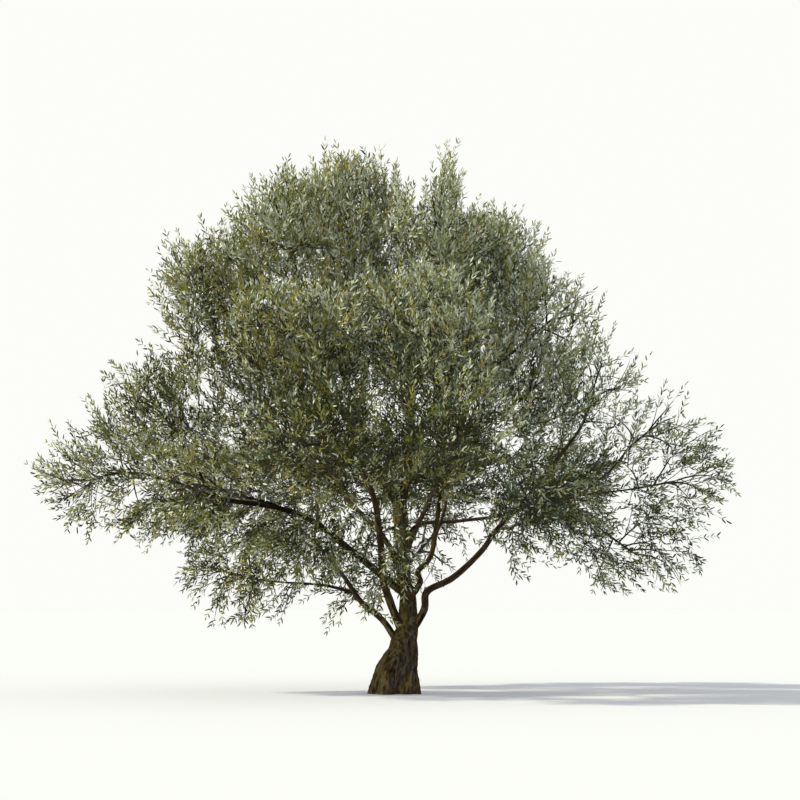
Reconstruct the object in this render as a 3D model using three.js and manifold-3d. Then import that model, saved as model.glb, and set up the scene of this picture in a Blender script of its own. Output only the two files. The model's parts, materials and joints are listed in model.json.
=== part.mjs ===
// An old olive tree: a fluted trunk, the boughs that leave it, and the masses of foliage that they carry.
// Millimetres, +Z up. The origin is the middle of the flat cut under the trunk.
// +X is the side of the long right-hand bough, and +Y is the far side of the crown.
import * as THREE from 'three';
import { mergeVertices } from 'three/addons/utils/BufferGeometryUtils.js';
import Module from 'manifold-3d';

const wasm = await Module();
wasm.setup();

// Clearances
const TOUCH_GAP = 0.3; // what two pieces that touch keep between them
const SMOOTHING = 0.2; // faces that fusing leaves are merged within this distance
const CUT_ALLOWANCE = 0.35; // how much fatter a limb is made before it cuts its neighbour
const LEAF_TO_LIMB = 12; // how far a leaf or twig stays from a limb that it doesn't grow on
const SPACE_MARGIN = 0.03; // how far a mass stays from the spaces of its neighbours, as a share of its reach

// Trunk: its course to the fork, each row x, y, z and radius. It starts below the ground, where it is cut flat.
const TRUNK_COURSE = [
  [-8, 0, -70, 246],
  [0, 0, 0, 236],
  [15, 0, 125, 216],
  [40, 0, 260, 184],
  [85, 0, 390, 148],
  [100, 0, 515, 126],
  [130, 0, 630, 104],
  [135, 0, 825, 88],
  [132, 0, 960, 76],
  [100, 0, 1090, 66],
  [80, 0, 1485, 68],
  [60, 0, 1740, 74],
  [60, 0, 1880, 58],
  [62, 0, 1915, 34],
];
const TRUNK_SIDES = 20;
const TRUNK_RINGS = 16;
const FLUTES = 5; // root lobes round the foot
const FLUTE_DEPTH = 0.15; // of the radius, at the ground
const FLUTE_HEIGHT = 420; // height over which the flutes fade
const FLUTE_TURN = 1.9; // where the first flute stands, radians
const SMALL_FLUTES = 3; // lesser lobes between them
const SMALL_FLUTE_SHARE = 0.5;

// Main boughs: the way each takes, its radius where it leaves the trunk and at its tip, and the mass it ends in
const MAIN_BOUGHS = [
  {
    name: 'left_low_bough', mass: 'left_low', thick: 36, thin: 21,
    way: [[50, -20, 455], [-95, -80, 690], [-315, -200, 885], [-450, -360, 1085]],
  },
  {
    name: 'left_stem', mass: 'front_left', thick: 42, thin: 18,
    way: [[80, -20, 575], [-95, -160, 1065], [-125, -320, 1430], [-185, -620, 1845], [-315, -1050, 2110],
      [-435, -1450, 2195]],
  },
  {
    name: 'left_long_bough', mass: 'left_tip', thick: 40, thin: 13,
    way: [[125, 0, 930], [-115, -10, 1135], [-465, 0, 1415], [-805, 10, 1670], [-1115, 20, 1785],
      [-1670, 50, 1875], [-1995, 60, 1990], [-2295, 80, 2090]],
  },
  {
    name: 'right_inner_bough', mass: 'front_mid_right', thick: 32, thin: 16,
    way: [[135, -20, 885], [250, -100, 1065], [230, -120, 1170], [355, -150, 1325], [415, -200, 1670],
      [475, -450, 2140], [470, -850, 2495], [410, -1150, 2705]],
  },
  {
    name: 'right_long_bough', mass: 'right_mid', thick: 40, thin: 15,
    way: [[155, 0, 570], [290, -80, 805], [320, -90, 980], [570, -100, 1115], [830, -100, 1355],
      [995, -100, 1580], [1200, -100, 1790], [1455, -150, 2105], [1695, -200, 2405]],
  },
  {
    name: 'back_left_bough', mass: 'back_left', thick: 34, thin: 17,
    way: [[105, 20, 1000], [-60, 400, 1445], [-430, 1100, 1865], [-690, 1700, 2130]],
  },
  {
    name: 'back_right_bough', mass: 'back_right', thick: 30, thin: 17,
    way: [[85, 30, 1290], [215, 400, 1590], [340, 1000, 1870], [430, 1650, 2105]],
  },
  {
    name: 'right_back_bough', mass: 'right_back', thick: 22, thin: 13,
    way: [[95, 20, 1425], [235, 150, 1625], [640, 500, 1675], [1115, 900, 1750], [1355, 1100, 1855]],
  },
  {
    name: 'left_leader', mass: 'left_top', thick: 46, thin: 16,
    way: [[70, 0, 1780], [-60, -20, 1960], [-195, -60, 2235], [-405, -120, 2830], [-690, -250, 3590],
      [-900, -350, 4010]],
  },
  {
    name: 'right_leader', mass: 'crown_top', thick: 52, thin: 17,
    way: [[60, 10, 1780], [115, 30, 2075], [165, 80, 2655], [105, 100, 3435], [-115, 140, 4025],
      [-275, 180, 4325]],
  },
];

// Side boughs: each leaves the bough named in from, at a share of its length, and ends in a mass
const SIDE_BOUGHS = [
  { mass: 'left_hang', from: 'left_low_bough', at: 0.8 },
  { mass: 'left_front', from: 'left_long_bough', at: 0.42 },
  { mass: 'left_back', from: 'left_long_bough', at: 0.36 },
  { mass: 'left_shoulder', from: 'left_long_bough', at: 0.72 },
  { mass: 'front_right', from: 'right_inner_bough', at: 0.5 },
  { mass: 'right_under', from: 'right_long_bough', at: 0.56 },
  { mass: 'right_tip', name: 'right_far_bough', from: 'right_long_bough', at: 0.74 },
  { mass: 'right_low', from: 'right_far_bough', at: 0.45 },
  { mass: 'right_shoulder', from: 'right_far_bough', at: 0.62 },
  { mass: 'right_centre', from: 'right_leader', at: 0.16 },
  { mass: 'right_upper', from: 'right_leader', at: 0.34 },
  { mass: 'core', from: 'right_leader', at: 0.4 },
  { mass: 'right_top', from: 'right_leader', at: 0.5 },
  { mass: 'top_right', from: 'right_leader', at: 0.6 },
  { mass: 'back_mid_right', from: 'right_leader', at: 0.24 },
  { mass: 'left_mid', from: 'left_leader', at: 0.26 },
  { mass: 'front_mid_left', from: 'left_leader', at: 0.36 },
  { mass: 'back_mid_left', from: 'left_leader', at: 0.42 },
  { mass: 'left_upper', from: 'left_leader', at: 0.52 },
];
const SIDE_THICKNESS = 0.7; // a side bough's radius against that of the bough it leaves
const SIDE_TAPER = 0.55; // its tip's radius against its own foot's
const THINNEST_TIP = 9;
const ENTRY = 0.72; // a bough ends this share of the reach away from the middle of its mass
const SHORTEST_WAY = 0.45; // but covers at least this share of the way there
const LEAVING = 0.6; // how far a side bough first follows the bough it leaves, against its own way
const HANDLE = 0.36; // how much of its length a side bough takes to turn
const WANDER = 0.03; // how crooked it is, of its length
const MAIN_SIDES = 6;
const SIDE_SIDES = 5;
const LIMB_STEP = 360; // length of limb that one ring of faces covers

// Masses of foliage: the middle, the reach along x, y and z, and how full each is
const MASSES = [
  { name: 'left_tip', middle: [-2850, 100, 2050], reach: [720, 620, 500], full: 0.8 },
  { name: 'left_shoulder', middle: [-2270, -150, 2730], reach: [700, 720, 600], full: 1 },
  { name: 'left_front', middle: [-1670, -1300, 1950], reach: [720, 750, 540], full: 1 },
  { name: 'left_back', middle: [-1780, 1400, 2030], reach: [700, 800, 540], full: 1 },
  { name: 'left_hang', middle: [-1460, -250, 1130], reach: [600, 620, 560], full: 0.7 },
  { name: 'left_low', middle: [-810, -600, 1480], reach: [500, 580, 520], full: 0.9 },
  { name: 'front_left', middle: [-700, -2200, 2240], reach: [700, 850, 620], full: 1 },
  { name: 'front_right', middle: [560, -2150, 2300], reach: [700, 850, 600], full: 1 },
  { name: 'right_under', middle: [1360, -1100, 1740], reach: [580, 700, 470], full: 0.7 },
  { name: 'right_low', middle: [2250, -100, 1390], reach: [760, 620, 450], full: 0.6 },
  { name: 'right_tip', middle: [2620, -100, 2030], reach: [690, 620, 430], full: 0.7 },
  { name: 'right_shoulder', middle: [2460, 150, 2510], reach: [580, 600, 390], full: 0.6 },
  { name: 'right_back', middle: [1690, 1500, 2120], reach: [740, 850, 540], full: 0.9 },
  { name: 'back_left', middle: [-850, 2250, 2260], reach: [740, 850, 600], full: 1 },
  { name: 'back_right', middle: [450, 2300, 2200], reach: [720, 850, 600], full: 1 },
  { name: 'left_upper', middle: [-1780, 100, 3850], reach: [660, 800, 680], full: 1 },
  { name: 'left_mid', middle: [-1400, 550, 2920], reach: [580, 700, 500], full: 0.7 },
  { name: 'front_mid_left', middle: [-910, -1500, 3270], reach: [720, 800, 600], full: 1 },
  { name: 'front_mid_right', middle: [350, -1600, 3330], reach: [700, 800, 640], full: 1 },
  { name: 'back_mid_left', middle: [-870, 1550, 3420], reach: [720, 800, 640], full: 1 },
  { name: 'back_mid_right', middle: [660, 1550, 3370], reach: [700, 800, 640], full: 1 },
  { name: 'right_mid', middle: [1880, -300, 2880], reach: [520, 700, 480], full: 0.8 },
  { name: 'right_centre', middle: [1300, 350, 2920], reach: [520, 700, 560], full: 0.8 },
  { name: 'right_upper', middle: [1510, 0, 3600], reach: [560, 750, 540], full: 0.9 },
  { name: 'left_top', middle: [-1050, -600, 4440], reach: [520, 740, 560], full: 1 },
  { name: 'crown_top', middle: [-450, 400, 4720], reach: [600, 800, 660], full: 1 },
  { name: 'top_right', middle: [390, -500, 4450], reach: [440, 740, 740], full: 1 },
  { name: 'right_top', middle: [990, 600, 4260], reach: [530, 780, 600], full: 1 },
  { name: 'core', middle: [-270, -200, 3420], reach: [600, 800, 850], full: 0.8 },
  { name: 'centre_low', middle: [330, 850, 1480], reach: [500, 500, 390], full: 0.5, trunkShare: 0.714 },
];
const MAIN_TWIGS = 6; // twigs that leave each mass's stem
const STEM_BEND = 0.6; // how much of the way to the middle a stem takes to turn
const STEM_PAST_MIDDLE = 0.3; // how far a stem runs on past the middle of its mass, of the way there
const STEM_SIDES = 5;
const STEM_RINGS = 2;
const STEM_TIP_RADIUS = 12;
const TWIG_SIDES = 3;
const TWIG_RINGS = 2;
const TWIG_TO_STEM = 0.85; // a twig's radius against the stem's where it leaves it
const TWIG_TIP_RADIUS = 9;
const TWIG_REACH = 0.66; // how near the edge of the space a twig's tip comes
const TWIG_LEAST_REACH = 0.3; // a twig that would have to stay nearer the middle than this is left out
const TWIG_REACH_STEP = 0.08;
const FIRST_TWIG = 0.3; // where the first twig leaves the stem
const TWIG_LEAVING = 0.12; // how far a twig first follows the stem, of its length
const TWIG_STRAY = 0.2; // how far a twig's aim strays from its even place
const LOW_CROWN = 1300; // below this height twigs arch over and hang
const HIGH_CROWN = 4300; // above this height they turn upwards
const LOW_ARCH = 0.26;
const HIGH_ARCH = -0.16;
const LOW_RISE = -0.35; // how far the sprays turn up or down, low and high in the crown
const HIGH_RISE = 0.9;

// Sprays: each blade stands for a shoot with its leaves
const SPRAY_SHARES = [0.42, 0.76, 1]; // where they grow on a twig
const INNER_SPRAYS = 0.5; // how often a twig has the innermost one, in a full mass
const SPRAY_LENGTH = 520;
const SPRAY_LENGTH_VARIES = 0.15;
const SPRAY_WIDTH = 210;
const SPRAY_THICKNESS = 17;
const SPRAY_WIDEST = 0.42; // where a blade is widest, of its length
const SPRAY_ROLL = 0.95; // radians that a blade is rolled out of the flat, to either side
const SPRAY_ROLL_VARIES = 0.4;
const SPRAY_SPLAY = 0.75; // radians between a blade and its twig
const SPRAY_SUNK = 0.42; // how far a blade's root goes past the middle of its twig, of the twig's radius
const END_SPRAY_SUNK = 1.3; // the same for the blade at the twig's end, which sits in line with it
const SPRAY_TRIES = 12;
const SPRAY_SHRINK = 0.94; // each new try is this much shorter
const GOLDEN_ANGLE = Math.PI * (3 - Math.sqrt(5));

const TEST_STEP = 25; // how far apart twigs and limbs are tested for meeting
const BOUGH_SEED = 100;
const MASS_SEED = 1000;

const UP = new THREE.Vector3(0, 0, 1);

function vector(numbers) {
  return new THREE.Vector3(numbers[0], numbers[1], numbers[2]);
}

function mix(a, b, share) {
  return a + (b - a) * share;
}

function heightShare(z) {
  return THREE.MathUtils.clamp((z - LOW_CROWN) / (HIGH_CROWN - LOW_CROWN), 0, 1);
}

// A repeatable row of numbers from 0 to 1.
function randomFrom(seed) {
  let state = seed >>> 0;
  return () => {
    state = (state + 0x6d2b79f5) >>> 0;
    let value = Math.imul(state ^ (state >>> 15), state | 1);
    value ^= value + Math.imul(value ^ (value >>> 7), value | 61);
    return ((value ^ (value >>> 14)) >>> 0) / 4294967296;
  };
}

function spread(random) {
  return random() * 2 - 1;
}

// A limb is a curve with a radius for every share of its length.
function makeLimb(name, curve, radiusAt) {
  const start = curve.getPoint(0);
  const chord = curve.getPoint(1).sub(start).normalize();
  const side = Math.abs(chord.y) > 0.8 ? new THREE.Vector3(1, 0, 0) : new THREE.Vector3(0, 1, 0);
  side.addScaledVector(chord, -side.dot(chord)).normalize();
  return { name, curve, radiusAt, side, length: curve.getLength() };
}

function taper(thick, thin) {
  return (share) => mix(thick, thin, share);
}

// The two directions square to a limb at a share of its length.
function crossAxes(limb, share) {
  const along = limb.curve.getTangent(share);
  const side = limb.side.clone().addScaledVector(along, -limb.side.dot(along)).normalize();
  const across = new THREE.Vector3().crossVectors(side, along);
  return { along, side, across };
}

function onlyPositions(geometry) {
  geometry.deleteAttribute('normal');
  geometry.deleteAttribute('uv');
  return mergeVertices(geometry);
}

function toSolid(geometry) {
  const vertProperties = new Float32Array(geometry.attributes.position.array);
  const triVerts = new Uint32Array(geometry.index.array);
  return new wasm.Manifold(new wasm.Mesh({ numProp: 3, vertProperties, triVerts }));
}

// A cylinder bent along a limb, with the limb's radius; fatter adds to that radius and to both ends.
function limbSolid(limb, sides, rings, fatter = 0, shapeAt = () => 1) {
  const geometry = onlyPositions(new THREE.CylinderGeometry(1, 1, 1, sides, rings));
  const position = geometry.attributes.position;
  for (let i = 0; i < position.count; i += 1) {
    const share = THREE.MathUtils.clamp(position.getY(i) + 0.5, 0, 1);
    const { along, side, across } = crossAxes(limb, share);
    const angle = Math.atan2(position.getX(i), position.getZ(i));
    const radius = limb.radiusAt(share) * shapeAt(share, angle) + fatter;
    const point = limb.curve.getPoint(share);
    point.addScaledVector(side, position.getX(i) * radius);
    point.addScaledVector(across, position.getZ(i) * radius);
    point.addScaledVector(along, share === 0 ? -fatter : share === 1 ? fatter : 0);
    position.setXYZ(i, point.x, point.y, point.z);
  }
  return toSolid(geometry);
}

function meets(a, b) {
  return !a.intersect(b).isEmpty();
}

function largestPiece(solid) {
  const pieces = solid.decompose();
  pieces.sort((a, b) => b.volume() - a.volume());
  return pieces[0];
}

function toMesh(name, solid, material) {
  const { vertProperties, triVerts } = solid.simplify(SMOOTHING).getMesh();
  const geometry = new THREE.BufferGeometry();
  geometry.setAttribute('position', new THREE.BufferAttribute(vertProperties, 3));
  geometry.setIndex(new THREE.BufferAttribute(triVerts, 1));
  geometry.computeVertexNormals();
  const mesh = new THREE.Mesh(geometry, material);
  mesh.name = name;
  return mesh;
}

function barkMaterial() {
  return new THREE.MeshStandardMaterial({ color: 0x4b4030, roughness: 0.95, metalness: 0 });
}

function foliageMaterial() {
  return new THREE.MeshStandardMaterial({ color: 0x6a7247, roughness: 0.6, metalness: 0 });
}

// Trunk

function trunkLimb() {
  const curve = new THREE.CatmullRomCurve3(TRUNK_COURSE.map(vector), false, 'catmullrom', 0.5);
  const radii = new THREE.CatmullRomCurve3(
    TRUNK_COURSE.map((row) => new THREE.Vector3(row[3], 0, 0)), false, 'catmullrom', 0.5,
  );
  return makeLimb('trunk', curve, (share) => radii.getPoint(share).x);
}

// The foot's lobes: full at the ground, gone at the top of the flutes.
function fluteAt(limb) {
  return (share, angle) => {
    const height = limb.curve.getPoint(share).z;
    const fade = Math.exp(-((height / FLUTE_HEIGHT) ** 2));
    const lobe = Math.cos(FLUTES * (angle - FLUTE_TURN)) + SMALL_FLUTE_SHARE * Math.cos(SMALL_FLUTES * angle);
    return 1 + FLUTE_DEPTH * fade * lobe;
  };
}

function trunkSolid(limb, fatter) {
  return limbSolid(limb, TRUNK_SIDES, TRUNK_RINGS, fatter, fluteAt(limb));
}

// Everything below the ground plane is cut away, which leaves the flat cut.
function aboveGround(solid) {
  return solid.trimByPlane([0, 0, 1], 0);
}

// Boughs

function mainLimb(bough) {
  const curve = new THREE.CatmullRomCurve3(bough.way.map(vector), false, 'catmullrom', 0.5);
  return makeLimb(bough.name, curve, taper(bough.thick, bough.thin));
}

function offsetFrom(point, mass) {
  const middle = vector(mass.middle);
  const reach = vector(mass.reach);
  return point.clone().sub(middle).divide(reach).length();
}

// The curve of a side bough, from the parent's middle to just inside its mass.
function sideCurve(parent, at, mass, random) {
  const start = parent.curve.getPoint(at);
  const middle = vector(mass.middle);
  const away = middle.clone().sub(start);
  const inside = Math.min(ENTRY / offsetFrom(start, mass), 1 - SHORTEST_WAY);
  const end = middle.clone().addScaledVector(away, -inside);
  const length = end.distanceTo(start);
  const onward = away.clone().normalize();
  const leaving = parent.curve.getTangent(at).multiplyScalar(LEAVING).add(onward).normalize();
  const bend = new THREE.CubicBezierCurve3(
    start,
    start.clone().addScaledVector(leaving, HANDLE * length),
    end.clone().addScaledVector(onward, -HANDLE * length),
    end,
  );
  const points = [0, 1 / 3, 2 / 3, 1].map((share) => bend.getPoint(share));
  for (const point of points.slice(1, 3)) {
    point.x += spread(random) * WANDER * length;
    point.y += spread(random) * WANDER * length;
    point.z += spread(random) * WANDER * length;
  }
  return new THREE.CatmullRomCurve3(points, false, 'catmullrom', 0.5);
}

function sideLimb(bough, parent, mass, index) {
  const curve = sideCurve(parent, bough.at, mass, randomFrom(BOUGH_SEED + index));
  const thick = parent.radiusAt(bough.at) * SIDE_THICKNESS;
  const thin = Math.max(thick * SIDE_TAPER, THINNEST_TIP);
  return makeLimb(bough.name || `${bough.mass}_bough`, curve, taper(thick, thin));
}

function boughSolid(limb, fatter) {
  const rings = Math.max(3, Math.round(limb.length / LIMB_STEP));
  const isMain = MAIN_BOUGHS.some((bough) => bough.name === limb.name);
  return limbSolid(limb, isMain ? MAIN_SIDES : SIDE_SIDES, rings, fatter);
}

// Foliage

// A list of balls along every limb, for keeping twigs and leaves off them.
function limbBalls(limbs) {
  const balls = [];
  for (const limb of limbs) {
    const count = Math.ceil(limb.length / TEST_STEP);
    for (let i = 0; i <= count; i += 1) {
      balls.push({ centre: limb.curve.getPoint(i / count), radius: limb.radiusAt(i / count) });
    }
  }
  return balls;
}

function inOwnSpace(point, mass) {
  const own = offsetFrom(point, mass);
  if (own > 1 || point.z < TOUCH_GAP) {
    return false;
  }
  return MASSES.every((other) => other === mass || offsetFrom(point, other) > own + SPACE_MARGIN);
}

function twigIsFree(limb, mass, balls) {
  const steps = Math.ceil(limb.length / TEST_STEP);
  for (let i = 1; i <= steps; i += 1) {
    const point = limb.curve.getPoint(i / steps);
    const room = limb.radiusAt(i / steps) + LEAF_TO_LIMB;
    if (i > 2 && !inOwnSpace(point, mass)) {
      return false;
    }
    if (balls.some((ball) => ball.centre.distanceTo(point) < ball.radius + room)) {
      return false;
    }
  }
  return true;
}

// A blade has a root, a direction, a sideways direction, a length and a width.
function bladePoint(blade, share, sideways, outward) {
  const point = blade.root.clone().addScaledVector(blade.along, share * blade.length);
  point.addScaledVector(blade.side, sideways * blade.width / 2);
  return point.addScaledVector(blade.face, outward * SPRAY_THICKNESS / 2);
}

function bladeIsFree(blade, mass, balls) {
  const outline = [
    bladePoint(blade, 1, 0, 0),
    bladePoint(blade, (1 + SPRAY_WIDEST) / 2, 0, 0),
    bladePoint(blade, SPRAY_WIDEST, 1, 0),
    bladePoint(blade, SPRAY_WIDEST, -1, 0),
  ];
  if (!outline.every((point) => inOwnSpace(point, mass))) {
    return false;
  }
  const offset = new THREE.Vector3();
  return !balls.some((ball) => {
    offset.copy(ball.centre).sub(blade.root);
    const room = ball.radius + LEAF_TO_LIMB;
    const along = offset.dot(blade.along);
    return along > -room && along < blade.length + room
      && Math.abs(offset.dot(blade.side)) < blade.width / 2 + room
      && Math.abs(offset.dot(blade.face)) < SPRAY_THICKNESS / 2 + room;
  });
}

function bladeSolid(blade) {
  const geometry = onlyPositions(new THREE.OctahedronGeometry(1));
  const position = geometry.attributes.position;
  for (let i = 0; i < position.count; i += 1) {
    const y = position.getY(i);
    const share = y < -0.5 ? 0 : y > 0.5 ? 1 : SPRAY_WIDEST;
    const point = bladePoint(blade, share, position.getX(i), position.getZ(i));
    position.setXYZ(i, point.x, point.y, point.z);
  }
  return toSolid(geometry);
}

function makeBlade(twig, share, angle, rise, length) {
  const { along, side, across } = crossAxes(twig, share);
  const splay = share < 1 ? SPRAY_SPLAY : 0;
  const direction = along.multiplyScalar(Math.cos(splay));
  direction.addScaledVector(side, Math.cos(angle) * Math.sin(splay));
  direction.addScaledVector(across, Math.sin(angle) * Math.sin(splay));
  direction.addScaledVector(UP, share < 1 ? rise * Math.sin(splay) : 0).normalize();
  const sideways = new THREE.Vector3().crossVectors(direction, UP).addScaledVector(side, 0.1);
  sideways.addScaledVector(direction, -sideways.dot(direction)).normalize();
  const roll = SPRAY_ROLL * (1 + SPRAY_ROLL_VARIES * Math.sin(5 * angle));
  sideways.applyAxisAngle(direction, Math.cos(3 * angle) > 0 ? roll : -roll);
  const sunk = twig.radiusAt(share) * (share < 1 ? SPRAY_SUNK : END_SPRAY_SUNK);
  const root = twig.curve.getPoint(share).addScaledVector(direction, -sunk);
  const face = new THREE.Vector3().crossVectors(sideways, direction);
  const width = SPRAY_WIDTH * Math.sqrt(length / SPRAY_LENGTH);
  return { root, along: direction, side: sideways, face, length, width };
}

// The blades of one twig, as solids. Each takes the first place, of a few, that is free.
function twigBlades(twig, mass, balls, others, rise, random) {
  const blades = [];
  for (const share of SPRAY_SHARES) {
    let angle = random() * 2 * Math.PI;
    let length = SPRAY_LENGTH * (1 + SPRAY_LENGTH_VARIES * spread(random));
    const chance = mass.full * (share < 0.5 ? INNER_SPRAYS : 1);
    const wanted = random() < chance || share === 1;
    for (let attempt = 0; wanted && attempt < SPRAY_TRIES; attempt += 1) {
      const blade = makeBlade(twig, share, angle, rise, length);
      const solid = bladeIsFree(blade, mass, balls) ? bladeSolid(blade) : null;
      if (solid && ![...others, ...blades].some((other) => meets(solid, other))) {
        blades.push(solid);
        break;
      }
      angle += GOLDEN_ANGLE;
      length *= SPRAY_SHRINK;
    }
  }
  return blades;
}

// The stem of a mass goes on from its bough's tip, or out of the trunk's middle.
function massStem(mass, bough) {
  const share = mass.trunkShare || 1;
  const tangent = bough.curve.getTangent(share);
  const start = bough.curve.getPoint(share);
  const middle = vector(mass.middle);
  if (!mass.trunkShare) {
    start.addScaledVector(tangent, TOUCH_GAP);
  } else {
    tangent.copy(middle).sub(start).normalize();
  }
  const way = middle.clone().sub(start);
  const end = middle.clone().addScaledVector(way, STEM_PAST_MIDDLE);
  const bend = start.clone().addScaledVector(tangent, way.length() * STEM_BEND);
  const curve = new THREE.QuadraticBezierCurve3(start, bend, end);
  const thick = mass.trunkShare ? 2 * STEM_TIP_RADIUS : bough.radiusAt(1);
  return makeLimb(`${mass.name}_stem`, curve, taper(thick, STEM_TIP_RADIUS));
}

// The target of a twig. The first lies straight on, away from the bough, and the rest are spread evenly round it
// over the mass's edge. Each is drawn in until it is in its own space.
function twigTarget(mass, outward, index, turn, random) {
  const height = index === 0 ? 1 : 1 - (2 * index - 1) / (MAIN_TWIGS - 1);
  const angle = index * GOLDEN_ANGLE + turn;
  const ring = Math.sqrt(1 - height * height);
  const side = new THREE.Vector3(-outward.y, outward.x, 0).normalize();
  const across = new THREE.Vector3().crossVectors(outward, side);
  const direction = outward.clone().multiplyScalar(height);
  direction.addScaledVector(side, ring * Math.cos(angle));
  direction.addScaledVector(across, ring * Math.sin(angle));
  if (index > 0) {
    direction.x += TWIG_STRAY * spread(random);
    direction.y += TWIG_STRAY * spread(random);
    direction.z += TWIG_STRAY * spread(random);
  }
  direction.normalize().multiply(vector(mass.reach));
  for (let reach = TWIG_REACH; reach > TWIG_LEAST_REACH; reach -= TWIG_REACH_STEP) {
    const target = vector(mass.middle).addScaledVector(direction, reach);
    if (inOwnSpace(target, mass)) {
      return target;
    }
  }
  return null;
}

function twigLimb(mass, stem, target, index) {
  const share = mix(FIRST_TWIG, 1, (index + 0.5) / MAIN_TWIGS);
  const start = stem.curve.getPoint(share);
  const length = target.distanceTo(start);
  const arch = mix(LOW_ARCH, HIGH_ARCH, heightShare(mass.middle[2]));
  const bend = start.clone().lerp(target, 0.5).addScaledVector(UP, arch * length);
  bend.addScaledVector(stem.curve.getTangent(share), TWIG_LEAVING * length);
  const curve = new THREE.QuadraticBezierCurve3(start, bend, target);
  const thick = stem.radiusAt(share) * TWIG_TO_STEM;
  return makeLimb('twig', curve, taper(thick, TWIG_TIP_RADIUS));
}

// Twigs take the targets from the bough's side outwards, so that those near the stem's foot leave it first.
function massTwigs(mass, stem, balls, random) {
  const turn = random() * 2 * Math.PI;
  const foot = stem.curve.getPoint(0);
  const outward = vector(mass.middle).sub(foot).normalize();
  const targets = [];
  for (let i = 0; i < MAIN_TWIGS; i += 1) {
    const target = twigTarget(mass, outward, i, turn, random);
    if (target) {
      targets.push(target);
    }
  }
  targets.sort((a, b) => a.distanceTo(foot) - b.distanceTo(foot));
  const twigs = targets.map((target, index) => twigLimb(mass, stem, target, index));
  return twigs.filter((twig) => twigIsFree(twig, mass, balls));
}

function massSolid(mass, bough, balls, index) {
  const random = randomFrom(MASS_SEED + index);
  const stem = massStem(mass, bough);
  const twigs = massTwigs(mass, stem, balls, random);
  const rise = mix(LOW_RISE, HIGH_RISE, heightShare(mass.middle[2]));
  const wood = twigs.map((twig) => limbSolid(twig, TWIG_SIDES, TWIG_RINGS));
  wood.push(limbSolid(stem, STEM_SIDES, STEM_RINGS));
  const blades = [];
  twigs.forEach((twig, index) => {
    const others = [...wood.filter((piece) => piece !== wood[index]), ...blades];
    blades.push(...twigBlades(twig, mass, balls, others, rise, random));
  });
  return wasm.Manifold.union([...wood, ...blades]);
}

// The whole tree

function makeTree() {
  const tree = new THREE.Group();
  tree.name = 'olive_tree';
  const limbs = new Map();
  const boughOf = new Map();

  const trunk = trunkLimb();
  limbs.set(trunk.name, trunk);
  const solids = new Map([[trunk.name, aboveGround(trunkSolid(trunk, 0))]]);
  const cutters = [aboveGround(trunkSolid(trunk, CUT_ALLOWANCE))];

  for (const bough of MAIN_BOUGHS) {
    const limb = mainLimb(bough);
    limbs.set(limb.name, limb);
    boughOf.set(bough.mass, limb);
  }
  SIDE_BOUGHS.forEach((bough, index) => {
    const mass = MASSES.find((candidate) => candidate.name === bough.mass);
    const limb = sideLimb(bough, limbs.get(bough.from), mass, index);
    limbs.set(limb.name, limb);
    boughOf.set(bough.mass, limb);
  });

  for (const limb of limbs.values()) {
    if (limb !== trunk) {
      const piece = largestPiece(boughSolid(limb, 0).subtract(wasm.Manifold.union(cutters)));
      solids.set(limb.name, piece);
      cutters.push(boughSolid(limb, CUT_ALLOWANCE));
    }
  }
  for (const [name, solid] of solids) {
    tree.add(toMesh(name, solid, barkMaterial()));
  }

  const balls = limbBalls(limbs.values());
  MASSES.forEach((mass, index) => {
    let solid = massSolid(mass, boughOf.get(mass.name) || trunk, balls, index);
    if (mass.trunkShare) {
      solid = solid.subtract(cutters[0]);
    }
    tree.add(toMesh(`${mass.name}_foliage`, largestPiece(solid), foliageMaterial()));
  });
  return tree;
}

export default makeTree();
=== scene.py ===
"""An old olive tree, dressed round its packed limbs: bark with its relief, then twigs, shoots and leaves.

Metres, +Z up. The origin is the middle of the flat cut under the trunk, and +Y is the far side of the crown.
The limbs, the masses and the main twigs are the part's own. Finer twigs, shoots and leaves grow on from them.
"""

import json
import math

import bmesh
import bpy
import numpy as np
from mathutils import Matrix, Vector, kdtree, noise

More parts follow.
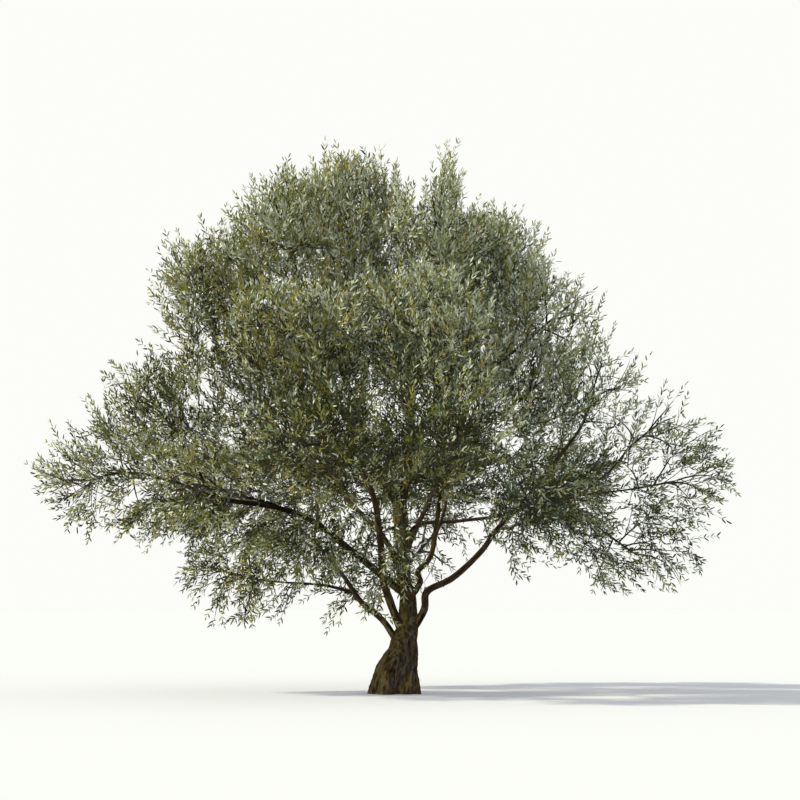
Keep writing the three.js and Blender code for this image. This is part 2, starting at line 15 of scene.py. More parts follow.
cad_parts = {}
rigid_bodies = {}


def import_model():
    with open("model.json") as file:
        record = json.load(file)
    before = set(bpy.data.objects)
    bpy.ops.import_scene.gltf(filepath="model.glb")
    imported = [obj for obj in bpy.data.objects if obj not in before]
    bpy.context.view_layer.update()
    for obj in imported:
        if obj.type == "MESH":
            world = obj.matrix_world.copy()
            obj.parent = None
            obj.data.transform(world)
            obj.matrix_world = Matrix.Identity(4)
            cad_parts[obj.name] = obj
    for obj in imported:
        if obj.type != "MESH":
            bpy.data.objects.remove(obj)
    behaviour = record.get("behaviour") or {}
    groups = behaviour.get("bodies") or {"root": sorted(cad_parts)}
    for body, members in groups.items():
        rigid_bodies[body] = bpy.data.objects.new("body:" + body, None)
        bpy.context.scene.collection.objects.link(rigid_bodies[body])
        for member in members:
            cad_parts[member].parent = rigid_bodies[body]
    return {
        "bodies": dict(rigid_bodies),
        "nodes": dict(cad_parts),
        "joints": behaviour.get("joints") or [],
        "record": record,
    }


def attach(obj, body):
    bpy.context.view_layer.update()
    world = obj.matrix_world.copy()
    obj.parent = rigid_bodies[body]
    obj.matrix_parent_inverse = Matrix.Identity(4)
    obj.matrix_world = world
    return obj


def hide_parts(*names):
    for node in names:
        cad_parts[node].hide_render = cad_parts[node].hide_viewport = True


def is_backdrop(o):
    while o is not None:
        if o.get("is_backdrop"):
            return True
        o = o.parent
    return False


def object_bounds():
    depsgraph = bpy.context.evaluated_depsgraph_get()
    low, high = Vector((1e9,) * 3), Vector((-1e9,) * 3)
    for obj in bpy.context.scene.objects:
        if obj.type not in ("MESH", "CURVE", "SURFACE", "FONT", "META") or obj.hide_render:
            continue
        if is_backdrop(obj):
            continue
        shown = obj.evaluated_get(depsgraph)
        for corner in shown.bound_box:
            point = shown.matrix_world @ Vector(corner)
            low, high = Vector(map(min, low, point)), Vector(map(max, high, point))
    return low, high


# Camera, as far from the trunk as the photograph's, and low
FRAME_PIXELS = 800
METRES_PER_PIXEL = 0.0097  # in the plane of the trunk
TRUNK_PIXEL = 394  # the column of the photograph that the origin falls on
GROUND_PIXEL = 692  # the row of the photograph that the ground falls on
CAMERA_DISTANCE = 24.0
CAMERA_HEIGHT = 0.9
SENSOR = 36.0  # millimetres
FURTHEST_SEEN = 1000.0

# Light: a sun from the left and a little in front, and a pale sky
SUN_HEIGHT = 38.0  # degrees above the horizon
SUN_TURN = -84.0  # degrees from straight behind the camera, to its left
SUN_SIZE = 3.0  # degrees across, which softens the shadow's edge
SUN_POWER = 5.0
SUN_COLOUR = (1.0, 0.95, 0.86)
SKY_POWER = 0.82
SKY_COLOUR = (0.95, 0.98, 1.04)
BACKDROP_COLOUR = (0.974, 0.982, 0.94)
FLOOR_COLOUR = (0.449, 0.462, 0.420)
FLOOR_GLOW = (0.187, 0.190, 0.226)  # light of its own, which keeps the shadow on it pale
FLOOR_SIZE = 400.0

# Trunk: its course to the fork. Each row is x, y, z and radius
TRUNK_COURSE = [
    (-0.008, 0, -0.070, 0.246),
    (0, 0, 0, 0.236),
    (0.015, 0, 0.125, 0.216),
    (0.040, 0, 0.260, 0.184),
    (0.085, 0, 0.390, 0.148),
    (0.100, 0, 0.515, 0.126),
    (0.130, 0, 0.630, 0.104),
    (0.135, 0, 0.825, 0.088),
    (0.132, 0, 0.960, 0.076),
    (0.100, 0, 1.090, 0.066),
    (0.080, 0, 1.485, 0.068),
    (0.060, 0, 1.740, 0.074),
    (0.060, 0, 1.880, 0.058),
    (0.062, 0, 1.915, 0.034),
]
FLUTES = 5  # root lobes round the foot
FLUTE_DEPTH = 0.15  # of the radius, at the ground
FLUTE_HEIGHT = 0.420  # height over which the flutes fade
FLUTE_TURN = 1.9  # where the first flute stands, radians
SMALL_FLUTES = 3
SMALL_FLUTE_SHARE = 0.5
SPUR = 0.12  # how far the foot's right side runs out at the ground, of its radius

# Main boughs: name, the mass each ends in, its radius where it leaves the trunk and at its tip, and its way
MAIN_BOUGHS = [
    ("left_low_bough", "left_low", 0.036, 0.021,
     [(0.050, -0.020, 0.455), (-0.095, -0.080, 0.690), (-0.315, -0.200, 0.885), (-0.450, -0.360, 1.085)]),
    ("left_stem", "front_left", 0.042, 0.018,
     [(0.080, -0.020, 0.575), (-0.095, -0.160, 1.065), (-0.125, -0.320, 1.430), (-0.185, -0.620, 1.845),
      (-0.315, -1.050, 2.110), (-0.435, -1.450, 2.195)]),
    ("left_long_bough", "left_tip", 0.040, 0.013,
     [(0.125, 0, 0.930), (-0.115, -0.010, 1.135), (-0.465, 0, 1.415), (-0.805, 0.010, 1.670),
      (-1.115, 0.020, 1.785), (-1.670, 0.050, 1.875), (-1.995, 0.060, 1.990), (-2.295, 0.080, 2.090)]),
    ("right_inner_bough", "front_mid_right", 0.032, 0.016,
     [(0.135, -0.020, 0.885), (0.250, -0.100, 1.065), (0.230, -0.120, 1.170), (0.355, -0.150, 1.325),
      (0.415, -0.200, 1.670), (0.475, -0.450, 2.140), (0.470, -0.850, 2.495), (0.410, -1.150, 2.705)]),
    ("right_long_bough", "right_mid", 0.040, 0.015,
     [(0.155, 0, 0.570), (0.290, -0.080, 0.805), (0.320, -0.090, 0.980), (0.570, -0.100, 1.115),
      (0.830, -0.100, 1.355), (0.995, -0.100, 1.580), (1.200, -0.100, 1.790), (1.455, -0.150, 2.105),
      (1.695, -0.200, 2.405)]),
    ("back_left_bough", "back_left", 0.034, 0.017,
     [(0.105, 0.020, 1.000), (-0.060, 0.400, 1.445), (-0.430, 1.100, 1.865), (-0.690, 1.700, 2.130)]),
    ("back_right_bough", "back_right", 0.030, 0.017,
     [(0.085, 0.030, 1.290), (0.215, 0.400, 1.590), (0.340, 1.000, 1.870), (0.430, 1.650, 2.105)]),
    ("right_back_bough", "right_back", 0.022, 0.013,
     [(0.095, 0.020, 1.425), (0.235, 0.150, 1.625), (0.640, 0.500, 1.675), (1.115, 0.900, 1.750),
      (1.355, 1.100, 1.855)]),
    ("left_leader", "left_top", 0.046, 0.016,
     [(0.070, 0, 1.780), (-0.060, -0.020, 1.960), (-0.195, -0.060, 2.235), (-0.405, -0.120, 2.830),
      (-0.690, -0.250, 3.590), (-0.900, -0.350, 4.010)]),
    ("right_leader", "crown_top", 0.052, 0.017,
     [(0.060, 0.010, 1.780), (0.115, 0.030, 2.075), (0.165, 0.080, 2.655), (0.105, 0.100, 3.435),
      (-0.115, 0.140, 4.025), (-0.275, 0.180, 4.325)]),
]

# Side boughs: name, the mass each ends in, the bough it leaves, and at what share of that bough's way
SIDE_BOUGHS = [
    ("left_hang_bough", "left_hang", "left_low_bough", 0.8),
    ("left_front_bough", "left_front", "left_long_bough", 0.42),
    ("left_back_bough", "left_back", "left_long_bough", 0.36),
    ("left_shoulder_bough", "left_shoulder", "left_long_bough", 0.72),
    ("front_right_bough", "front_right", "right_inner_bough", 0.5),
    ("right_under_bough", "right_under", "right_long_bough", 0.56),
    ("right_far_bough", "right_tip", "right_long_bough", 0.74),
    ("right_low_bough", "right_low", "right_far_bough", 0.45),
    ("right_shoulder_bough", "right_shoulder", "right_far_bough", 0.62),
    ("right_centre_bough", "right_centre", "right_leader", 0.16),
    ("right_upper_bough", "right_upper", "right_leader", 0.34),
    ("core_bough", "core", "right_leader", 0.4),
    ("right_top_bough", "right_top", "right_leader", 0.5),
    ("top_right_bough", "top_right", "right_leader", 0.6),
    ("back_mid_right_bough", "back_mid_right", "right_leader", 0.24),
    ("left_mid_bough", "left_mid", "left_leader", 0.26),
    ("front_mid_left_bough", "front_mid_left", "left_leader", 0.36),
    ("back_mid_left_bough", "back_mid_left", "left_leader", 0.42),
    ("left_upper_bough", "left_upper", "left_leader", 0.52),
]
SIDE_THICKNESS = 0.7  # a side bough's radius against that of the bough it leaves
SIDE_TAPER = 0.55  # its tip's radius against its own foot's
THINNEST_TIP = 0.009
ENTRY = 0.72  # a bough ends this share of the reach away from the middle of its mass
SHORTEST_WAY = 0.45  # but covers at least this share of the way there
LEAVING = 0.6  # how far a side bough first follows the bough it leaves, against its own way
HANDLE = 0.36  # how much of its length a side bough takes to turn
WANDER = 0.03  # how crooked it is, of its length
ALONG_Y = 0.8  # a limb that runs along y by more than this share has its sides measured from x
LENGTH_SAMPLES = 201
TANGENT_STEP = 1e-4

# Masses of foliage: name, middle, reach along x, y and z, and how full each is
MASSES = [
    ("left_tip", (-2.850, 0.100, 2.050), (0.720, 0.620, 0.500), 0.8),
    ("left_shoulder", (-2.270, -0.150, 2.730), (0.700, 0.720, 0.600), 1),
    ("left_front", (-1.670, -1.300, 1.950), (0.720, 0.750, 0.540), 1),
    ("left_back", (-1.780, 1.400, 2.030), (0.700, 0.800, 0.540), 1),
    ("left_hang", (-1.460, -0.250, 1.130), (0.600, 0.620, 0.560), 0.85),
    ("left_low", (-0.810, -0.600, 1.480), (0.500, 0.580, 0.520), 0.9),
    ("front_left", (-0.700, -2.200, 2.240), (0.700, 0.850, 0.620), 1),
    ("front_right", (0.560, -2.150, 2.300), (0.700, 0.850, 0.600), 1),
    ("right_under", (1.360, -1.100, 1.740), (0.580, 0.700, 0.470), 0.7),
    ("right_low", (2.250, -0.100, 1.390), (0.760, 0.620, 0.450), 0.6),
    ("right_tip", (2.620, -0.100, 2.030), (0.690, 0.620, 0.430), 0.8),
    ("right_shoulder", (2.460, 0.150, 2.510), (0.580, 0.600, 0.390), 0.7),
    ("right_back", (1.690, 1.500, 2.120), (0.740, 0.850, 0.540), 0.9),
    ("back_left", (-0.850, 2.250, 2.260), (0.740, 0.850, 0.600), 1),
    ("back_right", (0.450, 2.300, 2.200), (0.720, 0.850, 0.600), 1),
    ("left_upper", (-1.780, 0.100, 3.850), (0.660, 0.800, 0.680), 1),
    ("left_mid", (-1.400, 0.550, 2.920), (0.580, 0.700, 0.500), 0.7),
    ("front_mid_left", (-0.910, -1.500, 3.270), (0.720, 0.800, 0.600), 1),
    ("front_mid_right", (0.350, -1.600, 3.330), (0.700, 0.800, 0.640), 1),
    ("back_mid_left", (-0.870, 1.550, 3.420), (0.720, 0.800, 0.640), 1),
    ("back_mid_right", (0.660, 1.550, 3.370), (0.700, 0.800, 0.640), 1),
    ("right_mid", (1.880, -0.300, 2.880), (0.520, 0.700, 0.480), 0.8),
    ("right_centre", (1.300, 0.350, 2.920), (0.520, 0.700, 0.560), 0.8),
    ("right_upper", (1.510, 0, 3.600), (0.560, 0.750, 0.540), 0.9),
    ("left_top", (-1.050, -0.600, 4.440), (0.520, 0.740, 0.560), 1),
    ("crown_top", (-0.450, 0.400, 4.720), (0.600, 0.800, 0.660), 1),
    ("top_right", (0.390, -0.500, 4.450), (0.440, 0.740, 0.740), 1),
    ("right_top", (0.990, 0.600, 4.260), (0.530, 0.780, 0.600), 1),
    ("core", (-0.270, -0.200, 3.420), (0.600, 0.800, 0.850), 0.8),
    ("centre_low", (0.330, 0.850, 1.480), (0.500, 0.500, 0.390), 0.15),
]
TRUNK_MASS = "centre_low"  # this mass's stem leaves the trunk itself
TRUNK_MASS_SHARE = 0.714  # at this share of the trunk's course
MASS_NAMES = [mass[0] for mass in MASSES]
MIDDLES = np.array([mass[1] for mass in MASSES])
REACHES = np.array([mass[2] for mass in MASSES])
FULLNESS = np.array([mass[3] for mass in MASSES])

# Stems and main twigs, by the part's rule
MAIN_TWIGS = 6  # twigs that leave each mass's stem
TOUCH_GAP = 0.0003
STEM_BEND = 0.6  # how much of the way to the middle a stem takes to turn
STEM_PAST_MIDDLE = 0.3  # how far a stem runs on past the middle of its mass, of the way there
STEM_TIP_RADIUS = 0.012
TRUNK_STEM_RADIUS = 0.024  # where a stem leaves the trunk
TWIG_TO_STEM = 0.85  # a twig's radius against the stem's where it leaves it
TWIG_TIP_RADIUS = 0.0055  # before its side twigs go on
TWIG_REACH = 0.66  # how near the edge of the space a main twig's tip comes
TWIG_LEAST_REACH = 0.3  # and how far it may be drawn in, by steps, to be in its own space
TWIG_REACH_STEP = 0.08
FIRST_TWIG = 0.3  # where the first twig leaves the stem
TWIG_LEAVING = 0.12  # how far a twig first follows the stem, of its length
TWIG_STRAY = 0.2  # how far a twig's aim strays from its even place
SPACE_MARGIN = 0.03  # how much nearer its own mass than any other a tip has to be
LOW_CROWN = 1.3  # below this height twigs arch over and hang
HIGH_CROWN = 4.3  # above this height they turn upwards
LOW_ARCH = 0.26  # how far a twig's middle is lifted in the low crown, of its length
HIGH_ARCH = -0.16  # and how far it sags in the high crown
GOLDEN_ANGLE = math.pi * (3 - math.sqrt(5))
UP = np.array([0.0, 0.0, 1.0])
BOUGH_SEED = 100
MASS_SEED = 1000
FINE_SEED = 5000

# Finer twigs: the same rule used twice more, for the side twigs of each twig and for their shoots
# count: how many a twig carries. middle: the share of its way that their aims are spread round
# reach: metres from there to an aim. first: the share of its way where the lowest of them leaves it
# lowest: how far back the aims go, as a cosine. leaving: how far each first follows the twig that carries it
# stray: how uneven the aims are. limit, overlap: how far out in a mass, and into the next one, it may end
# least: how far it may be drawn in. rise: how far it leans the way shoots do. thick, thin: its radii
SIDE_TWIGS = dict(count=7, middle=0.62, reach=0.42, first=0.22, lowest=-0.35, leaving=0.2, stray=0.45,
                  limit=0.86, overlap=0.3, least=0.4, rise=0.3, thick=0.0052, thin=0.0028)
SHOOTS = dict(count=7, middle=0.60, reach=0.24, first=0.15, lowest=0.15, leaving=0.0, stray=0.35,
              limit=0.88, overlap=0.4, least=0.5, rise=1.5, thick=0.0022, thin=0.0010)
REACH_VARIES = 0.4  # how much longer or shorter than the rule's a twig's reach may be
FOOT_STRAY = 0.4  # how unevenly twigs stand along the one that carries them, of their spacing
DRAWN_IN = (0.85, 0.7, 0.55)  # shares of its reach that a twig outside the crown is drawn in to
THICKEST = 0.8  # the most a finer twig's radius can be, of that of the wood it leaves
LIMIT_VARIES = 0.17  # how unevenly far the finer twigs reach, which makes the crown's edge soft and ragged
THIN_LIMIT = 0.4  # how much further out the lone twigs of a thin mass stand
WAVE_LENGTHS = (0.9, 0.7, 0.55, 0.6, 0.45)
WAVE_TURN = 2.4  # how much further round each row of waves runs than the one before, in radians
WAVE_TILT = 1.7
WAVE_SHIFT = 1.9
WAVE_HEIGHT = 0.12  # how far the crown's edge swells and sinks in waves, of a mass's reach
FURTHEST_FROM_OWN = 1.4  # how far outside its own mass a twig may fill a cleft between masses
CLEFT_FILL = 1.5  # the higher, the less the clefts between masses are filled
CROWN_MIDDLE = (-0.1, 0.0, 2.2)  # shoots lean away from here
LEAN_OUT = 0.85
DROOP_BELOW = 1.6  # under this height the shoots hang
UPRIGHT_ABOVE = 2.8  # and over this one they stand up
DROOP = -0.25
UPRIGHT = 1.15
SWAY = 1.0  # how far neighbouring shoots lean together to one side or another, in sprays
SWAY_APART = 7.3  # metres between the waves for the two level directions
SPIKE_SHARE = 0.22  # share of the shoots at the crown's edge that stand out of it
SPIKE = 0.18  # by this much at most
SHORTEST_SPIKE = 0.4  # and at least by this share of it
SPIKES_ABOVE = 2.4  # the height that they begin at
EDGE_DEPTH = 1.35  # how deep in the crown its edge goes
SIZE_MARGIN = 0.08  # how far a shoot's tip may be outside the box of the part's own solids

# Where the crown has a hole, a side twig or a shoot grows into it from the nearest wood behind
SIDE_CELL = 0.30  # the size of a cell that always has a side twig
SIDE_BEHIND = 0.30  # how far behind it the wood is looked for
SIDE_LONGEST = 1.1
SHOOT_CELLS = [(0.145, 0.0), (0.115, 3.6)]  # the same for shoots, and the height that each size counts from
SHOOT_BEHIND = 0.16
SHOOT_LONGEST = 0.42
CELL_PAST = 0.10  # how far a twig or a shoot runs on past its place in the cell
CELL_INSIDE = 0.10  # so the cells end this much further in, of a mass's reach
CELL_STRAY = (0.15, 0.85)  # a place in a cell is chosen between these shares of it
WOOD_FIRST = 0.25  # from this share of its way on, a stem or a main twig carries such twigs
BOUGH_FIRST = 0.35  # and from this one a bough
BOUGH_SPACING = 0.08  # at every so many metres
SIDE_FIRST = 0.1  # and from this one a side twig carries such shoots
TWIG_PLACES = 6  # at this many places on each twig

# Where the crown is thin: at its right edge, its left tip and its low edge, and in its shaded inside
# Each edge thins from the first of its two places, and is most open from the second on
RIGHT_SLOPE = (0.74, 0.61)  # the upper right edge slopes: this much of x and of z is the way out
OPEN_RIGHT_TOP = (3.45, 4.1)  # that way
OPEN_RIGHT = (3.1, 4.4)  # along x
OPEN_LEFT = (-2.6, -4.0)
OPEN_FOOT = (1.2, 0.5)  # along z
OPEN_LOSS = 0.8  # share of the growth that is missing where an edge is most open
HOLLOW_MIDDLE = (0.1, 0.0, 2.4)
HOLLOW_REACH = (1.8, 1.2, 1.5)
HOLLOW_FADE = 2  # the hollow fades over the outer half of its reach
HOLLOW_LOSS = 0.4
BAYS = [  # and where the sky comes in: the middle of each bay and its reach, and the share missing there
    ((0.24, -0.30, 5.16), (0.24, 1.20, 0.54), 0.9),
    ((0.80, -0.40, 5.00), (0.22, 1.30, 0.42), 0.9),
    ((-1.42, -0.50, 5.05), (0.36, 1.30, 0.42), 0.85),
    ((-1.90, -0.20, 4.62), (0.30, 1.30, 0.25), 0.6),
    ((-2.25, 0.00, 3.95), (0.30, 1.00, 0.50), 0.4),
    ((-2.90, 0.00, 2.90), (0.45, 1.00, 0.30), 0.5),
    ((-2.90, 0.00, 1.98), (0.65, 0.90, 0.28), 0.5),
    ((-1.40, -1.30, 1.92), (0.75, 0.90, 0.22), 0.65),
    ((-1.28, -1.30, 1.76), (0.70, 1.08, 0.16), 0.9),
    ((-1.85, -0.90, 1.92), (0.85, 1.00, 0.15), 0.8),
    ((-1.80, 0.20, 2.95), (0.25, 1.30, 0.22), 0.6),
    ((-0.92, -0.25, 0.80), (0.38, 0.90, 0.32), 0.9),
    ((-0.95, -0.40, 1.12), (0.35, 0.90, 0.20), 0.35),
    ((-1.75, -0.20, 1.08), (0.25, 1.00, 0.20), 0.4),
    ((-2.50, 0.00, 3.42), (0.32, 1.00, 0.32), 0.7),
    ((0.80, 0.00, 1.45), (0.45, 1.20, 0.40), 0.6),
    ((2.20, 0.00, 3.10), (0.42, 1.40, 0.36), 0.75),
    ((1.74, -0.30, 3.78), (0.42, 1.20, 0.46), 0.65),
    ((2.30, 0.00, 1.38), (0.90, 1.60, 0.50), 0.66),
    ((2.45, 0.00, 2.65), (0.60, 1.50, 0.45), 0.68),
    ((2.50, 0.00, 2.05), (0.55, 1.20, 0.42), 0.68),
    ((2.15, -0.20, 2.30), (0.28, 1.00, 0.25), 0.7),
    ((1.55, -0.30, 1.55), (0.40, 1.30, 0.28), 0.55),
]

# Sprouts on the bare boughs inside the crown: the bough, the shares of its way that they stand between,
# how many they are, how steeply they rise, and how long they are
SPROUTS = [
    ("trunk", 0.66, 0.98, 4, 0.3, 0.30),
    ("left_low_bough", 0.4, 1.0, 6, 0.2, 0.34),
    ("left_stem", 0.12, 0.6, 24, 0.0, 0.38),
    ("left_stem", 0.6, 1.0, 14, 1.0, 0.42),
    ("left_long_bough", 0.08, 0.45, 16, -0.2, 0.38),
    ("left_long_bough", 0.5, 0.8, 20, -1.2, 0.45),
    ("left_long_bough", 0.70, 0.88, 18, -1.5, 0.48),
    ("left_long_bough", 0.85, 1.0, 11, -0.6, 0.80),
    ("left_hang_bough", 0.1, 0.8, 7, 0.3, 0.3),
    ("left_hang_bough", 0.75, 1.0, 7, -0.5, 0.42),
    ("right_long_bough", 0.55, 0.8, 5, 0.1, 0.36),
    ("right_under_bough", 0.6, 1.0, 7, -0.6, 0.45),
    ("right_low_bough", 0.1, 0.75, 12, -0.7, 0.42),
    ("right_top_bough", 0.7, 1.0, 12, 1.0, 0.55),
    ("left_leader", 0.0, 0.45, 20, 0.3, 0.42),
    ("right_leader", 0.0, 0.45, 18, 0.3, 0.42),
    ("right_inner_bough", 0.6, 1.0, 10, 0.8, 0.38),
    ("back_left_bough", 0.2, 0.8, 8, 0.0, 0.38),
    ("back_right_bough", 0.2, 0.8, 4, 0.2, 0.38),
]
SPROUT_LOSS = 0.35  # share of a sprout's shoots that are missing
SPROUT_SHOOTS = {**SHOOTS, "limit": 9, "overlap": 9}  # limits so wide that the shoots needn't keep to a mass
SPROUT_ALONG = 0.5  # how far a sprout leans along its bough
SPROUT_LENGTHS = (0.7, 1.3)  # between which shares of its length it varies
SPROUT_RADIUS = 0.004
SPROUT_TO_BOUGH = 0.5  # the most its radius can be, of the bough's
SPROUT_ARCH = 0.04

# Leaves, in opposite pairs along every shoot
MOST_PAIRS = 10
PAIR_SPACING = 0.039
FIRST_PAIR = 0.35  # how far from the shoot's tip the first pair stands, in spacings
PAIR_STRAY = 0.15  # and how unevenly the pairs follow one another
PAIR_TURN = math.pi / 2  # each pair stands across the one before
TURN_STRAY = 0.35  # radians
LEAF_LENGTH = 0.062
LEAF_LENGTH_VARIES = 0.2
SMALL_LEAF = 0.78  # of that length, at the least
LEAF_SWELL = 0.3  # how much more it has by its place on the shoot, which is the most near the shoot's middle
SWELL_START = 0.15  # where on a half wave the shoot's foot is
SWELL_WAY = 0.75  # and how far it is from there to the shoot's tip
LEAF_WIDTH = 0.235  # of its length
LEAF_STATIONS = (0.3, 0.68)  # where the outline's shoulders are, of the length
LEAF_SHOULDERS = (1.0, 0.8)  # how wide it is there
INNER_STATION = 0.45  # leaves inside the crown have one shoulder, a little wider
INNER_SHOULDER = 1.15
LEAF_CURL = 0.07  # how far the tip turns down, of the length
LEAF_OPENING = 0.60  # radians between a leaf and its shoot
LEAF_OPENING_VARIES = 0.3
TIP_OPENING = 0.2  # share of that for the one leaf at a shoot's tip
LEAF_RISE = 0.08
FACE_UP = 0.55  # how far a leaf's upper side turns up, against facing its shoot's tip
BLADE_TURN = 0.6  # how far a blade is twisted out of facing its shoot's tip, to face outwards
FACE_STRAY = 0.35
LEAF_LOST = 0.10  # share of leaves that have dropped
INNER_DEPTH = 2.8  # how deep in the crown a leaf counts as an inner one
LEAVES_PER_PIECE = 60000

# Leaf tints: base colour, how often a shoot has it where the crown is bright and where it is shaded, and how
# cool it is. Dealt by the crown's light, the darker tints paint shade on it and the paler ones paint light
LEAF_TINTS = [
    ("deep_olive", (0.029, 0.032, 0.004), 0.04, 0.50, 0),
    ("blue_green", (0.062, 0.088, 0.044), 0.05, 0.14, 1),
    ("olive", (0.118, 0.132, 0.021), 0.20, 0.26, 0),
    ("sage", (0.292, 0.318, 0.165), 0.40, 0.09, 0.5),
    ("warm_olive", (0.236, 0.226, 0.048), 0.27, 0.07, -1),
    ("yellow_olive", (0.305, 0.272, 0.070), 0.07, 0.01, -1),
]
SILVER_TINT = ("silver", (0.480, 0.525, 0.390))
# More silver undersides are dealt where the crown is bright, which is partly painted light
SILVER_SHARES = (0.06, 0.38)  # of the leaves, those that show their underside, where it is shaded and bright
OLD_TINT = ("old", (0.300, 0.190, 0.035))
OLD_SHARE = 0.005  # of the leaves, those that have turned
PATCH_APART = 3.1  # metres between the waves of the tints and those of the crown's edge
PATCH_SHARE = 0.3  # the share of a shoot's way where its patch is looked up
PATCH_MIX = 0.55  # how mixed the tints of a patch are: 0 all alike, 1 with no patches
# Cool tints dealt to the right paint the bluish shade there, and warm ones to the left paint the sunlight
COOL_RIGHT = 0.5  # how much more often a cool tint is dealt for each metre to the right of the trunk
WARMEST_LEFT = -1.0  # and a warm one to the left, as far as here
# The tints' painted light and shade: how bright the crown is painted at each place
BRIGHT_PLACE = (0.2, 2.8)  # at this x and z, where nothing shades it, the crown is as bright as this
BRIGHT_THERE = 0.65
BRIGHT_RIGHT = 0.06  # how much brighter it is for each metre to the right
BRIGHT_UP = 0.34  # and for each metre up
BRIGHT_LOWEST = -0.6  # from this far down on it gets no darker
SHADING = 0.5  # how much darker the depth of the crown is
SHADED_FADE = 1.5  # a shaded place fades over the outer two thirds of its reach
SHADED_PLACES = [  # round each x and z, as far as this, it is darker by so much
    ((0.0, 2.45), (1.5, 1.2), 0.65),
    ((-1.9, 3.7), (1.6, 1.3), 0.3),
    ((2.2, 1.7), (1.7, 1.2), 0.45),
]
SHADED_DEPTH = (2.8, 10.0)  # and from this depth to that one in the crown it gets darker

# Bark
BARK_VOXEL = 0.008  # the trunk and the boughs' feet are fused at this grain
FOOT_LENGTH = 0.55  # how much of a main bough is fused with the trunk
FOOT_UNDER = 0.06  # how far an outer bough starts inside its fused foot
FURROW_SCALE = 0.034  # across the grain
FURROW_STRETCH = 0.22  # how much slower the relief changes along the limb
FURROW_NOISE = (0.9, 2.1, 3, 1.0, 1.6)  # roughness, step between octaves, their number, offset and gain
FURROW_TOP = 2.2  # the noise's value on top of a ridge
FURROW_LEVEL = 0.55  # the share of that where the bark is neither raised nor sunk
FURROW_DEPTH = 0.10  # of the limb's radius
DEEPEST_FURROW = 0.013
LUMP_SCALE = 0.11
LUMP_DEPTH = 0.05
SAMPLE_STEP = 0.02  # metres between the points by which bark finds its limb
TRUNK_STEP = 0.02  # metres between the rings of the trunk and of the fused feet
TRUNK_SIDES = 40
FOOT_SIDES = 18
BOUGH_STEP = 0.018
BOUGH_SIDES = 14
EASING = 0.5  # how far the fused skin is smoothed, and how often
EASING_ROUNDS = 3

# Sides and rings of the meshes of twigs
MAIN_TWIG_MESH = (6, 5)
SIDE_TWIG_MESH = (3, 3)
SHOOT_MESH = (3, 1)

# Masks of the bark: each range is from where its mask begins to where it is full
LEADER_X = 0.07  # where the two leaders rise, whose bark is the lightest
OUTER_AWAY = (0.012, 0.05)  # square metres: the distance from there, squared
OUTER_HEIGHT = (0.7, 1.0)
# where the boughs on the left are painted nearly black with shade
FAR_LEFT = (0.3, 1.0)
FURROWS = (0.05, 0.45)  # of the relief
RIDGES = (0.5, 1.05)  # of the relief with half the streaks
RIDGE_STREAKS = (0.42, 0.66)
PATCH_SPOTS = (0.54, 0.70)
STRIP_BEGINS = (0.05, 0.3)  # by how far the bark faces right
STRIP_ENDS = (0.55, 0.8)
STRIP_STREAKS = (0.4, 0.6)
# Painted sunlight on the outer boughs' upper sides:
UPPER_SIDES = (0.2, 0.9)  # by how far the bark faces up
TOP_LIGHT_STREAKS = (0.3, 0.6)
PALE_SPOTS = (0.42, 0.66)  # on twigs

# Moss: its mask, and how much more likely it is on streaks, facing left, high up and near the leaders
MOSSY = (0.62, 0.82)
MOSS_HEIGHT = (0.7, 1.6)
MOSS_ON_STREAKS = 0.35
# more golden moss where the bark faces the sun on the left, partly painted sunlight
MOSS_AND_SUN_FACING_LEFT = 0.2
MOSS_HIGH_UP = 0.12
MOSS_BY_LEADERS = 0.14
MOSS_IN_FURROWS = 0.30  # how strongly it covers there
MOSS_ON_RIDGES = 0.6  # and how much more it does here

# Noises: scale, detail and roughness
STREAKS = (26.0, 5.0, 0.62)
FLAKES = (90.0, 3.0, 0.6)
PATCHES = (6.0, 4.0, 0.6)
MOSS_SPOTS = (4.0, 5.0, 0.65)
TWIG_SPOTS = (55.0, 3.0, 0.6)

# Coats of the bark over its furrows' colour, in the order they are laid on: a colour, and how well it covers
# The furrows' near-black colour is partly painted shade, partly the darker bark in them
FURROW_COLOUR = (0.005, 0.0035, 0.001)
BARK_COAT = ((0.034, 0.023, 0.009), 1.0)
RIDGE_COAT = ((0.170, 0.130, 0.066), 0.85)
PATCH_COAT = ((0.070, 0.036, 0.017), 0.6)
STRIP_COAT = ((0.070, 0.067, 0.056), 0.7)
MOSS_COAT = ((0.165, 0.128, 0.036), 1.0)
# The outer boughs' coat is redder bark, and partly painted shade under the crown
OUTER_COAT = ((0.024, 0.013, 0.006), 0.5)
# painted sunlight on the outer boughs' upper sides
TOP_LIGHT_COAT = ((0.190, 0.140, 0.092), 0.6)
# painted shade that makes the boughs on the left nearly black
LEFT_SHADE_COAT = ((0.007, 0.005, 0.002), 0.8)

# Surfaces of wood and leaf
BARK_ROUGHNESS = 0.97
RIDGES_SMOOTHER = 0.15
BARK_GLOSS = 0.1
BUMP_STREAKS = 0.7  # against the flakes
BUMP_STRENGTH = 0.7
BUMP_DEPTH = 0.008
TWIG_ROUGHNESS = 0.85
LEAF_ROUGHNESS = 0.5
LEAF_GLOSS = 0.18
TWIG_COLOURS = ((0.020, 0.015, 0.009), (0.058, 0.048, 0.032))  # the bark and its paler spots
SHOOT_COLOURS = ((0.060, 0.056, 0.034), (0.120, 0.116, 0.080))


# What the rest uses

